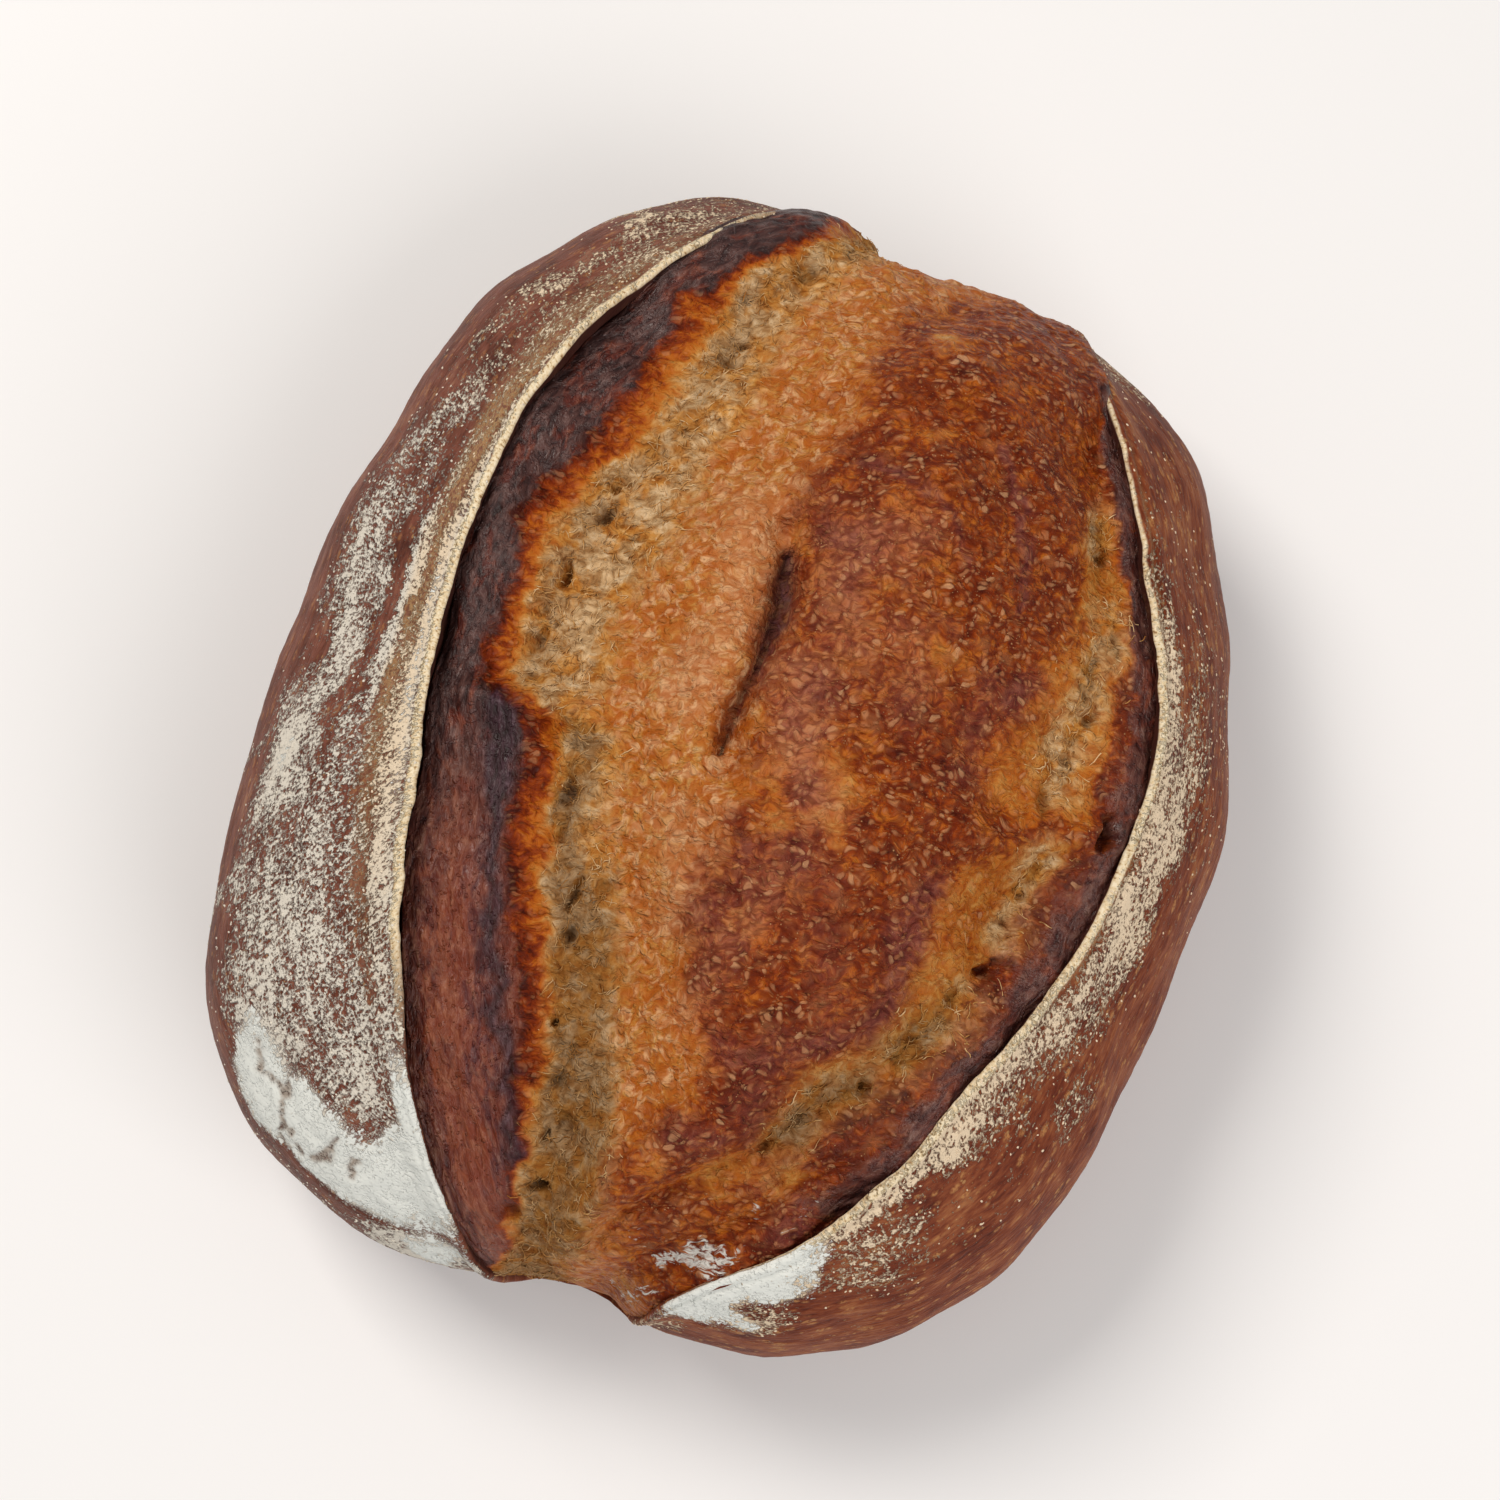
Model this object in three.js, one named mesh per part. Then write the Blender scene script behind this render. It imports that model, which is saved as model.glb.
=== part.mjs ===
// A hand-shaped oval sourdough loaf, one solid, lying on its flat foot.
// One long score runs over the top, a little left of the middle. The dough burst out of it in the oven, so the
// loaf has three skins: the floured crust of the flanks, whose cut edges stand up as two lips, a strip of cut
// face that slopes down inside each lip, and the torn swelling that rose between them over the crust's dome.
//
// Millimetres. +Z is up and +Y runs along the loaf. The origin is the middle of the foot.
// A place on the loaf is a bearing round it, in degrees from +X, and a slope, the fall from the crown in
// degrees: 0 is the crown, 90 the widest level and 180 the edge of the foot.
import * as THREE from "three";

// Driving dimensions
const loafLength = 233;
const loafWidth = 195;
const waistHeight = 34; // level at which the sides are widest
const domeHeight = 92; // crown of the crust's own dome, which the swelling stands over
const swellingRise = 9; // how far the swelling stands over that dome
const squareness = 2.82; // exponent of the outline's rounded oval, where 2 is an ellipse
const footTuck = 0.17; // share of the radius by which the foot is narrower than the waist
const domeFullness = { across: 2.25, up: 2.1 }; // exponents of the dome's profile, where 2 is round

// The lips: their own lift, the thickness of the crust, and the drop from a lip to the cut face
const leftLip = { lift: 3.2, step: 4.2 };
const rightLip = { lift: 1.8, step: 2.8 };
const crustThickness = 2.0;
const lipOverhang = 2.6;
const lipCurl = 15; // width of the band of crust that turns up towards a lip
const closedLip = 0.14; // share of a lip's form that is left where the two lips meet at an end

// The two valleys between a cut face and the swelling, and the swelling's own section: how far it stands over
// the dome at each share of the way from the left valley to the right one
const leftValleyDepth = 8.5;
const rightValleyDepth = 3.5;
const swellingSection = [
  [0, -leftValleyDepth],
  [0.13, -5.5],
  [0.3, 1.2],
  [0.46, 6.4],
  [0.6, swellingRise],
  [0.74, 6.6],
  [0.88, 1.6],
  [1, -rightValleyDepth],
];
const levelling = { from: 72, to: 113 }; // distances along the loaf over which swelling and valleys level out
const endRise = 1.2; // how far the skin between the lips stands out at an end
const rightValleyEnd = { from: 58, to: 90, fill: 5, width: 15 }; // where the right valley runs out, towards -Y

// Hand-shaped unevenness of the outline: [bearing, outward millimetres, spread in degrees]
const outlineSwells = [
  [346, 4.9, 22],
  [12, 2.2, 12],
  [45, -2.8, 11],
  [66, -1.6, 9],
  [90, -2.6, 6],
  [105, 2.0, 7],
  [129, -1.6, 7],
  [150, -4.4, 9],
  [175, -1.6, 9],
  [195, -2.6, 12],
  [236, 1.9, 10],
  [253, 1.8, 8],
  [276, -3.1, 8],
  [312, 3.0, 12],
];

// The line of the two lips round the opening: [bearing, slope]. They run over both ends and meet below the
// waist, at the highest slopes.
const lipLine = [
  [0, 50.5],
  [28, 52],
  [48, 52],
  [60, 57.5],
  [68, 68],
  [72, 85],
  [76, 101],
  [82, 108],
  [89, 102],
  [97, 81],
  [106, 65.5],
  [120, 50],
  [150, 39.5],
  [190, 34],
  [216, 31],
  [236, 35],
  [250, 46.5],
  [261, 64],
  [267, 84],
  [274, 106],
  [279, 96],
  [284, 69],
  [298, 53.5],
  [320, 44],
  [345, 48.5],
];

// The bottoms of the valleys, seen from above: [y, x]
const leftValley = [
  [-114, -6],
  [-92, -2],
  [-68, -9],
  [-36, -19],
  [-22, -26.5],
  [-10, -36],
  [8, -41],
  [40, -35],
  [80, -23.5],
  [114, -5],
];
const rightValley = [
  [-114, 8],
  [-94, 13],
  [-78, 30],
  [-60, 47.5],
  [-36, 60.5],
  [0, 67],
  [36, 65.5],
  [68, 57.5],
  [114, 38],
];

// Ridges of stretched crumb that cross a valley, and the crease in the swelling
const ridges = [
  { from: [-48, -11], to: [-24, -9], height: 5, width: 4.5 },
  { from: [-25, -11], to: [-24, -22], height: 2.5, width: 4 },
  { from: [51, -7], to: [77, 5], height: 3, width: 4.5 },
];
const crease = { path: [[-1, 39], [3, 26], [3, 12], [2, 1], [4, -9]], depth: 4.5, width: 4 };

// Low lumps all over: [millimetres, x, y and z waves per metre, phase]
const lumps = [
  [0.55, 9, 13, 4, 0.4],
  [0.45, 17, -8, 11, 2.1],
  [0.35, -21, 19, 9, 4.0],
  [0.28, 31, 27, -13, 1.2],
];
const swellingLumps = [
  [0.75, 24, 11, 0, 1.9],
  [0.6, -13, 29, 0, 0.3],
  [0.45, 41, -23, 0, 3.3],
  [0.4, 33, 47, 0, 5.1],
];

// The mesh: steps round the loaf, and rings from the foot to the crown
const around = 120;
const endCrowding = 7; // degrees by which steps are drawn towards the two ends
const footRings = [0.4, 0.72, 0.94];
const flankRings = 13;
const swellingRings = 25;
const poleShare = 0.07; // the last ring before the crown

const radians = THREE.MathUtils.degToRad;
const clamp01 = (t) => Math.min(Math.max(t, 0), 1);
const ease = (t) => {
  const c = clamp01(t);
  return c * c * (3 - 2 * c);
};
const mix = THREE.MathUtils.lerp;

// A smooth curve through [place, value] points, which goes round at 360 when it is a ring.
function curveThrough(points, isRing = false) {
  const ring = (turn) => points.map(([place, value]) => [place + turn, value]);
  const knots = isRing ? [...ring(-360), ...points, ...ring(360)] : points;
  const slopeAt = (i) => {
    const [before, after] = [knots[Math.max(i - 1, 0)], knots[Math.min(i + 1, knots.length - 1)]];
    return (after[1] - before[1]) / (after[0] - before[0]);
  };
  return (place) => {
    const at = isRing ? THREE.MathUtils.euclideanModulo(place, 360) : place;
    if (at <= knots[0][0]) return knots[0][1];
    if (at >= knots[knots.length - 1][0]) return knots[knots.length - 1][1];
    const i = knots.findIndex(([start], k) => start <= at && at < knots[k + 1][0]);
    const [[start, low], [end, high]] = [knots[i], knots[i + 1]];
    const width = end - start;
    const t = (at - start) / width;
    return (
      (2 * t ** 3 - 3 * t ** 2 + 1) * low +
      (t ** 3 - 2 * t ** 2 + t) * width * slopeAt(i) +
      (-2 * t ** 3 + 3 * t ** 2) * high +
      (t ** 3 - t ** 2) * width * slopeAt(i + 1)
    );
  };
}

const turnBetween = (a, b) => THREE.MathUtils.euclideanModulo(a - b + 180, 360) - 180;

function outlineRadius(bearing) {
  const [c, s] = [Math.cos(radians(bearing)), Math.sin(radians(bearing))];
  const across = Math.abs(c / (loafWidth / 2)) ** squareness;
  const along = Math.abs(s / (loafLength / 2)) ** squareness;
  const swells = outlineSwells.reduce(
    (sum, [centre, out, spread]) => sum + out * Math.exp(-((turnBetween(bearing, centre) / spread) ** 2) / 2),
    0,
  );
  return (across + along) ** (-1 / squareness) + swells;
}

// The crust's dome, before any lip, valley or lump.
function domePoint(bearing, slope) {
  const fall = radians(Math.min(slope, 90));
  const tuck = radians(Math.max(slope - 90, 0));
  const reach = Math.sin(fall) ** (2 / domeFullness.across) - footTuck * (1 - Math.cos(tuck));
  const height =
    (domeHeight - waistHeight) * Math.max(Math.cos(fall), 0) ** (2 / domeFullness.up) +
    waistHeight * (1 - Math.sin(tuck));
  const radius = outlineRadius(bearing) * reach;
  return new THREE.Vector3(radius * Math.cos(radians(bearing)), radius * Math.sin(radians(bearing)), height);
}

function domeNormal(bearing, slope) {
  const [turn, fall] = [0.5, 0.5];
  const steepest = 180 - fall;
  const at = THREE.MathUtils.clamp(slope, 2, steepest);
  const round = domePoint(bearing + turn, at).sub(domePoint(bearing - turn, at));
  const down = domePoint(bearing, at + fall).sub(domePoint(bearing, at - fall));
  return down.cross(round).normalize();
}

const lipSlope = curveThrough(lipLine, true);
const lipForm = (bearing) => mix(1, closedLip, ease((lipSlope(bearing) - 70) / 30));

// 1 on the left of the opening and 0 on its right, changing over at the two ends.
function leftness(bearing) {
  const [farEnd, nearEnd, blend] = [82, 274, 8];
  const past = THREE.MathUtils.euclideanModulo(bearing - farEnd, 360);
  const length = nearEnd - farEnd;
  return ease(past / blend) * ease((length - past) / blend);
}

const lipValue = (bearing, key) => mix(rightLip[key], leftLip[key], leftness(bearing)) * lipForm(bearing);

// Each lip as x against y, from above.
function lipAcross(firstBearing, lastBearing) {
  const points = [];
  const steps = 60;
  for (let i = 0; i <= steps; i++) {
    const bearing = mix(firstBearing, lastBearing, i / steps);
    const { x, y } = domePoint(bearing, Math.min(lipSlope(bearing), 90));
    points.push([y, x]);
  }
  return curveThrough(points.sort((a, b) => a[0] - b[0]));
}
const leftLipX = lipAcross(94, 267);
const rightLipX = lipAcross(-79, 72);
const leftValleyX = curveThrough(leftValley);
const rightValleyX = curveThrough(rightValley);
const swellingRiseAt = curveThrough(swellingSection);

function waves(list, { x, y, z }) {
  return list.reduce(
    (sum, [size, wx, wy, wz, phase]) =>
      sum + size * Math.sin((2 * Math.PI * (wx * x + wy * y + wz * z)) / 1000 + phase),
    0,
  );
}

// How far (x, y) lies from a path of [x, y] points.
function distanceTo(path, x, y) {
  const point = new THREE.Vector3(x, y, 0);
  const nearest = new THREE.Vector3();
  return path.slice(1).reduce((best, end, i) => {
    const run = new THREE.Line3(new THREE.Vector3(...path[i], 0), new THREE.Vector3(...end, 0));
    return Math.min(best, run.closestPointToPoint(point, true, nearest).distanceTo(point));
  }, Infinity);
}

const bell = (distance, width) => Math.exp(-((distance / width) ** 2));

// How far the skin inside the lips stands over the dome, from the point of the dome under it.
function openingRise(x, y) {
  const [lipL, valleyL] = [leftLipX(y), leftValleyX(y)];
  const [valleyR, lipR] = [rightValleyX(y), rightLipX(y)];
  let rise;
  if (x < valleyL) rise = mix(-leftLip.step, -leftValleyDepth, ease((x - lipL) / (valleyL - lipL)));
  else if (x > valleyR) rise = mix(-rightLip.step, -rightValleyDepth, ease((lipR - x) / (lipR - valleyR)));
  else rise = swellingRiseAt((x - valleyL) / (valleyR - valleyL));
  const { from: fillFrom, to: fillTo, fill, width: fillWidth } = rightValleyEnd;
  rise += fill * ease((-y - fillFrom) / (fillTo - fillFrom)) * bell(x - valleyR, fillWidth);
  rise = mix(rise, endRise, ease((Math.abs(y) - levelling.from) / (levelling.to - levelling.from)));
  for (const { from, to, height, width } of ridges)
    rise += height * bell(distanceTo([from, to], x, y), width);
  return rise - crease.depth * bell(distanceTo(crease.path, x, y), crease.width);
}

// The opening's skin at a share of the way from the crown, 0, to the root under the lip, 1.
function openingPoint(bearing, share, rootSlope) {
  const slope = rootSlope * share;
  const base = domePoint(bearing, slope);
  const overEnd = 1 - ease((slope - 86) / 20); // the opening closes flush with the crust low on an end
  const full = openingRise(base.x, base.y) + waves(swellingLumps, base);
  const rise = mix(-closedLip * rightLip.step, full, overEnd) + waves(lumps, base);
  return base.addScaledVector(domeNormal(bearing, slope), rise);
}

// The crust at a slope, lifted towards its lip.
function crustPoint(bearing, slope, drop = 0) {
  const base = domePoint(bearing, slope);
  const millimetresPerDegree = 1.4;
  const fromLip = (slope - lipSlope(bearing)) * millimetresPerDegree;
  const lift = lipValue(bearing, "lift") * (1 - ease(fromLip / lipCurl));
  const grip = ease((180 - slope) / 25); // lumps die out at the flat foot
  return base.addScaledVector(domeNormal(bearing, slope), (lift + waves(lumps, base)) * grip - drop);
}

// One meridian of the loaf, from the middle of the foot to the crown.
function meridian(bearing) {
  const lip = lipSlope(bearing);
  const edge = domePoint(bearing, 180);
  const degreesPerMillimetre = 1 / 1.4;
  const points = footRings.map((share) => edge.clone().multiplyScalar(share));
  for (let i = 0; i < flankRings; i++) {
    const share = 1 - (i / (flankRings - 1)) ** 1.15;
    const slope = mix(lip + crustThickness * degreesPerMillimetre, 180, share);
    const point = crustPoint(bearing, slope);
    points.push(new THREE.Vector3(point.x, point.y, i === 0 ? 0 : Math.max(point.z, 0.3)));
  }
  const form = lipForm(bearing);
  points.push(crustPoint(bearing, lip, 0.25 * crustThickness * form));
  points.push(crustPoint(bearing, lip + 0.1, crustThickness * form));
  const rootSlope = lip + lipOverhang * form * degreesPerMillimetre;
  for (let i = 0; i < swellingRings; i++)
    points.push(openingPoint(bearing, mix(1, poleShare, i / (swellingRings - 1)), rootSlope));
  return points;
}

// The closed skin: meridians joined round the loaf, with one vertex at the foot's middle and one at the crown.
function loafGeometry() {
  const columns = Array.from({ length: around }, (_, i) => {
    const turn = i / around;
    return meridian(360 * turn + endCrowding * Math.sin(4 * Math.PI * turn));
  });
  const rings = columns[0].length;
  const footMiddle = new THREE.Vector3(0, 0, 0);
  const crown = openingPoint(0, 0, lipSlope(0));
  const vertices = [footMiddle, ...columns.flat(), crown];
  const index = [];
  const at = (column, ring) => 1 + (column % around) * rings + ring;
  for (let c = 0; c < around; c++) {
    index.push(0, at(c + 1, 0), at(c, 0));
    for (let r = 0; r + 1 < rings; r++) {
      const [a, b, d, e] = [at(c, r), at(c + 1, r), at(c + 1, r + 1), at(c, r + 1)];
      if (vertices[a].distanceTo(vertices[d]) < vertices[b].distanceTo(vertices[e])) index.push(a, b, d, a, d, e);
      else index.push(a, b, e, b, d, e);
    }
    index.push(at(c, rings - 1), at(c + 1, rings - 1), vertices.length - 1);
  }
  const geometry = new THREE.BufferGeometry().setFromPoints(vertices);
  geometry.setIndex(index);
  geometry.computeVertexNormals();
  geometry.computeBoundingBox();
  const { min, max } = geometry.boundingBox;
  return geometry.translate(-(min.x + max.x) / 2, -(min.y + max.y) / 2, -min.z);
}

const bakedCrust = new THREE.MeshStandardMaterial({ color: 0x8a4a24, roughness: 0.62, metalness: 0 });

const loaf = new THREE.Mesh(loafGeometry(), bakedCrust);
loaf.name = "loaf";

const group = new THREE.Group();
group.add(loaf);
export default group;
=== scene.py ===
import functools
import itertools
import math
from types import SimpleNamespace

import bpy
import numpy as np
from mathutils import Matrix, Vector


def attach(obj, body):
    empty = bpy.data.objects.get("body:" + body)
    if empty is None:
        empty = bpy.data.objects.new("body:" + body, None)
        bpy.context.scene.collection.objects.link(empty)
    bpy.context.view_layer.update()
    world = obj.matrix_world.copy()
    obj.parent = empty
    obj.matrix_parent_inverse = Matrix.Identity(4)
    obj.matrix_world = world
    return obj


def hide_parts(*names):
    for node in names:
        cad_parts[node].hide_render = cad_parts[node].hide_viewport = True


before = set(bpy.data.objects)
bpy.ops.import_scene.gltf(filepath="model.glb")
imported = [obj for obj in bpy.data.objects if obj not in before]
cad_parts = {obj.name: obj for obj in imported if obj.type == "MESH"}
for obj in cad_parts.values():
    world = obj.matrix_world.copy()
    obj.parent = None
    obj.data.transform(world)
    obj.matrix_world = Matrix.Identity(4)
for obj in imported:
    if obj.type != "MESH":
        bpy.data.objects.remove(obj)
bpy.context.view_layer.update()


# The form of the loaf

loafForm = {
    "length": 233,
    "width": 195,
    "waist": 34,  # level of the widest line
    "dome": 92,  # crown of the crust's own dome
    "squareness": 2.82,  # exponent of the rounded oval outline, 2 is an ellipse
    "footTuck": 0.17,
    "fullAcross": 2.25,
    "fullUp": 2.1,
    "middle": (3.95, -0.156, 0),  # middle of the outline, which goes over the origin
    "swells": [  # bearing, outward mm, spread in degrees
        (346, 4.9, 22), (12, 2.2, 12), (45, -2.8, 11), (66, -1.6, 9), (90, -2.6, 6), (105, 2.0, 7),
        (129, -1.6, 7), (150, -4.4, 9), (175, -1.6, 9), (195, -2.6, 12), (236, 1.9, 10), (253, 1.8, 8),
        (276, -3.1, 8), (312, 3.0, 12),
    ],
    "lumps": [  # mm, waves per metre along x, y and z, phase
        (0.55, 9, 13, 4, 0.4), (0.45, 17, -8, 11, 2.1), (0.35, -21, 19, 9, 4.0), (0.28, 31, 27, -13, 1.2),
    ],
    "mmPerDegree": 1.4,  # length of a degree of slope over the dome
    "mmPerDegreeBelow": 0.5,  # and below the waist
}

lips = {
    "leftLift": 3.2, "rightLift": 1.8,
    "leftStep": 4.2, "rightStep": 2.8,  # drop from the lip to the cut face
    "crust": 2.0,  # thickness of the cut crust
    "overhang": 2.6,
    "curl": 15,  # width of the band that turns up towards the lip
    "closed": 0.14,  # share of the lip's form left where the two lips meet
    "leftBearings": (82, 274), "changeOver": 8,
    "line": [  # bearing, slope
        (0, 50), (28, 51.6), (48, 52), (60, 57.5), (68, 68), (72, 85), (76, 101), (82, 108), (89, 102),
        (97, 79), (106, 61.5), (120, 48), (150, 38), (190, 33.6), (216, 31), (236, 35), (250, 46.5),
        (261, 64), (267, 84), (274, 106), (279, 96), (284, 69), (298, 53.5), (320, 44), (345, 48),
    ],
}

opening = {
    "leftDepth": 8.5, "rightDepth": 3.5,  # the valleys, below the dome
    "section": [  # share of the way from valley to valley, height
        (0, -8.5), (0.13, -5.5), (0.3, 1.2), (0.46, 6.4), (0.6, 9), (0.74, 6.6), (0.88, 1.6), (1, -3.5),
    ],
    "levelling": (72, 113), "endRise": 1.2,
    "rightEnd": {"from": 58, "to": 90, "fill": 5, "width": 15},
    "leftValley": [  # y, x seen from above
        (-114, -6), (-92, -2), (-68, -9), (-36, -19), (-22, -26.5), (-10, -36), (8, -41), (40, -35),
        (80, -23.5), (114, -5),
    ],
    "rightValley": [
        (-114, 8), (-94, 13), (-78, 30), (-60, 47.5), (-36, 60.5), (0, 67), (36, 65.5), (68, 57.5),
        (114, 38),
    ],
    "ridges": [  # from, to, height, width
        ((-48, -11), (-24, -9), 5, 4.5), ((-25, -11), (-24, -22), 2.5, 4), ((51, -7), (77, 5), 3, 4.5),
    ],
    "crease": [(-1, 39), (3, 26), (3, 12), (2, 1), (4, -9)], "creaseDepth": 4.5, "creaseWidth": 4,
    "lumps": [
        (0.75, 24, 11, 0, 1.9), (0.6, -13, 29, 0, 0.3), (0.45, 41, -23, 0, 3.3), (0.4, 33, 47, 0, 5.1),
    ],
}


def ease(t):
    c = np.clip(t, 0, 1)
    return c * c * (3 - 2 * c)


def mix(a, b, t):
    return a + (b - a) * t


def bell(distance, width):
    return np.exp(-((distance / width) ** 2))


def curveThrough(points, isRing=False):
    # a smooth curve through (place, value) points, which goes round at 360 when it is a ring
    knots = np.array(points, float)
    if isRing:
        turn = np.array([360, 0])
        knots = np.concatenate([knots - turn, knots, knots + turn])
    places, values = knots.T
    ahead = np.minimum(np.arange(len(knots)) + 1, len(knots) - 1)
    behind = np.maximum(np.arange(len(knots)) - 1, 0)
    slopes = (values[ahead] - values[behind]) / (places[ahead] - places[behind])

    def curve(at):
        at = np.mod(at, 360) if isRing else np.asarray(at, float)
        at = np.clip(at, places[0], places[-1])
        i = np.clip(np.searchsorted(places, at, side="right") - 1, 0, len(places) - 2)
        width = places[i + 1] - places[i]
        t = (at - places[i]) / width
        near = (2 * t**3 - 3 * t**2 + 1) * values[i] + (t**3 - 2 * t**2 + t) * width * slopes[i]
        far = (-2 * t**3 + 3 * t**2) * values[i + 1] + (t**3 - t**2) * width * slopes[i + 1]
        return near + far

    return curve


def hashed(cell, seed):
    # three repeatable numbers from 0 to 1 for each whole-number cell
    mixed = cell[..., 0] * 73856093 ^ cell[..., 1] * 19349663 ^ cell[..., 2] * 83492791 ^ (seed * 668265263)
    mixed = (mixed ^ (mixed >> 15)) * 2246822519
    mixed = (mixed ^ (mixed >> 13)) * 3266489917
    mixed = mixed ^ (mixed >> 16)
    return np.stack([(mixed >> shift) & 1023 for shift in (0, 10, 20)], -1) / 1023


def smoothNoise(points, size, seed):
    # gradient noise, about -1 to 1, with lumps of the given size in mm (one size, or one for each axis)
    places = points / np.asarray(size, float)
    base = np.floor(places).astype(np.int64)
    offset = places - base
    fade = offset**3 * (offset * (offset * 6 - 15) + 10)
    total = np.zeros(points.shape[:-1])
    for corner in itertools.product((0, 1), repeat=3):
        step = np.array(corner)
        weight = np.prod(np.where(step == 1, fade, 1 - fade), -1)
        total += weight * np.sum((hashed(base + step, seed) * 2 - 1) * (offset - step), -1)
    return total * 1.6


def nearestSpot(points, spacing, seed):
    # distance in mm to the nearest of the scattered spots, and that spot's own number from 0 to 1
    size = np.asarray(spacing, float)
    places = points / size
    base = np.floor(places).astype(np.int64)
    best = np.full(points.shape[:-1], 9.0)
    number = np.zeros(points.shape[:-1])
    for step in itertools.product((-1, 0, 1), repeat=3):
        cell = base + np.array(step)
        spot = cell + 0.1 + 0.8 * hashed(cell, seed)
        distance = np.linalg.norm(places - spot, axis=-1)
        number = np.where(distance < best, hashed(cell, seed + 1)[..., 0], number)
        best = np.minimum(best, distance)
    return best, number


def waves(rows, points):
    return sum(
        size * np.sin(2 * np.pi * (points @ np.array([wx, wy, wz])) / 1000 + phase)
        for size, wx, wy, wz, phase in rows
    )


def distanceTo(path, x, y):
    # how far (x, y) lies from a path of (x, y) points
    best = np.full(np.shape(x), np.inf)
    for (ax, ay), (bx, by) in zip(path, path[1:]):
        dx, dy = bx - ax, by - ay
        t = np.clip(((x - ax) * dx + (y - ay) * dy) / (dx * dx + dy * dy), 0, 1)
        best = np.minimum(best, np.hypot(x - ax - t * dx, y - ay - t * dy))
    return best


def turnBetween(a, b):
    return np.mod(a - b + 180, 360) - 180


def outlineRadius(bearing):
    c, s = np.cos(np.radians(bearing)), np.sin(np.radians(bearing))
    power = loafForm["squareness"]
    oval = np.abs(c / (loafForm["width"] / 2)) ** power + np.abs(s / (loafForm["length"] / 2)) ** power
    swells = sum(
        out * np.exp(-((turnBetween(bearing, centre) / spread) ** 2) / 2)
        for centre, out, spread in loafForm["swells"]
    )
    return oval ** (-1 / power) + swells


def domePoint(bearing, slope):
    # slope is the fall from the crown in degrees: 90 is the waist, 180 the edge of the foot
    fall = np.radians(np.minimum(slope, 90))
    tuck = np.radians(np.maximum(slope - 90, 0))
    reach = np.sin(fall) ** (2 / loafForm["fullAcross"]) - loafForm["footTuck"] * (1 - np.cos(tuck))
    rise = (loafForm["dome"] - loafForm["waist"]) * np.maximum(np.cos(fall), 0) ** (2 / loafForm["fullUp"])
    height = rise + loafForm["waist"] * (1 - np.sin(tuck))
    radius = outlineRadius(bearing) * reach
    turn = np.radians(bearing)
    return np.stack([radius * np.cos(turn), radius * np.sin(turn), height + 0 * radius], -1)


def domeNormal(bearing, slope):
    step = 0.5
    at = np.clip(slope, 2, 180 - step)
    around = domePoint(bearing + step, at) - domePoint(bearing - step, at)
    down = domePoint(bearing, at + step) - domePoint(bearing, at - step)
    normal = np.cross(down, around)
    return normal / np.linalg.norm(normal, axis=-1, keepdims=True)


lipSlope = curveThrough(lips["line"], isRing=True)


def lipForm(bearing):
    return mix(1, lips["closed"], ease((lipSlope(bearing) - 70) / 30))


def leftness(bearing):
    first, last = lips["leftBearings"]
    past = np.mod(bearing - first, 360)
    return ease(past / lips["changeOver"]) * ease((last - first - past) / lips["changeOver"])


def lipValue(bearing, left, right):
    return mix(lips[right], lips[left], leftness(bearing)) * lipForm(bearing)


def lipAcross(first, last):
    # a lip as x against y, from above
    bearing = np.linspace(first, last, 61)
    places = domePoint(bearing, np.minimum(lipSlope(bearing), 90))
    return curveThrough(sorted((y, x) for x, y, z in places))


leftLipX = lipAcross(94, 267)
rightLipX = lipAcross(-79, 72)
leftValleyX = curveThrough(opening["leftValley"])
rightValleyX = curveThrough(opening["rightValley"])
swellingAt = curveThrough(opening["section"])


def openingRise(x, y):
    # how far the bloom stands over the dome
    lipL, valleyL, valleyR, lipR = leftLipX(y), leftValleyX(y), rightValleyX(y), rightLipX(y)
    left = mix(-lips["leftStep"], -opening["leftDepth"], ease((x - lipL) / (valleyL - lipL)))
    right = mix(-lips["rightStep"], -opening["rightDepth"], ease((lipR - x) / (lipR - valleyR)))
    middle = swellingAt((x - valleyL) / (valleyR - valleyL))
    rise = np.where(x < valleyL, left, np.where(x > valleyR, right, middle))
    end = opening["rightEnd"]
    towardsEnd = ease((-y - end["from"]) / (end["to"] - end["from"]))
    rise += end["fill"] * towardsEnd * bell(x - valleyR, end["width"])
    first, last = opening["levelling"]
    rise = mix(rise, opening["endRise"], ease((np.abs(y) - first) / (last - first)))
    for start, end, height, width in opening["ridges"]:
        rise += height * bell(distanceTo([start, end], x, y), width)
    return rise - opening["creaseDepth"] * bell(distanceTo(opening["crease"], x, y), opening["creaseWidth"])


# Meshes

def addSkin(name, points, faces, fields, material):
    # points come in mm, in the form's own frame; each field is one number or one vector at a point
    mesh = bpy.data.meshes.new(name)
    mesh.from_pydata(((points - np.array(loafForm["middle"])) / 1000).tolist(), [], faces)
    for key, values in fields.items():
        if values.ndim == 1:
            layer = mesh.attributes.new(key, "FLOAT", "POINT")
            layer.data.foreach_set("value", values.astype(np.float32))
        else:
            layer = mesh.attributes.new(key, "FLOAT_VECTOR", "POINT")
            layer.data.foreach_set("vector", values.astype(np.float32).ravel())
    mesh.validate()
    mesh.shade_smooth()
    mesh.materials.append(material)
    skin = bpy.data.objects.new(name, mesh)
    bpy.context.scene.collection.objects.link(skin)
    print(name, len(points), "points,", sum(len(face) - 2 for face in faces), "triangles")
    return skin


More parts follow.
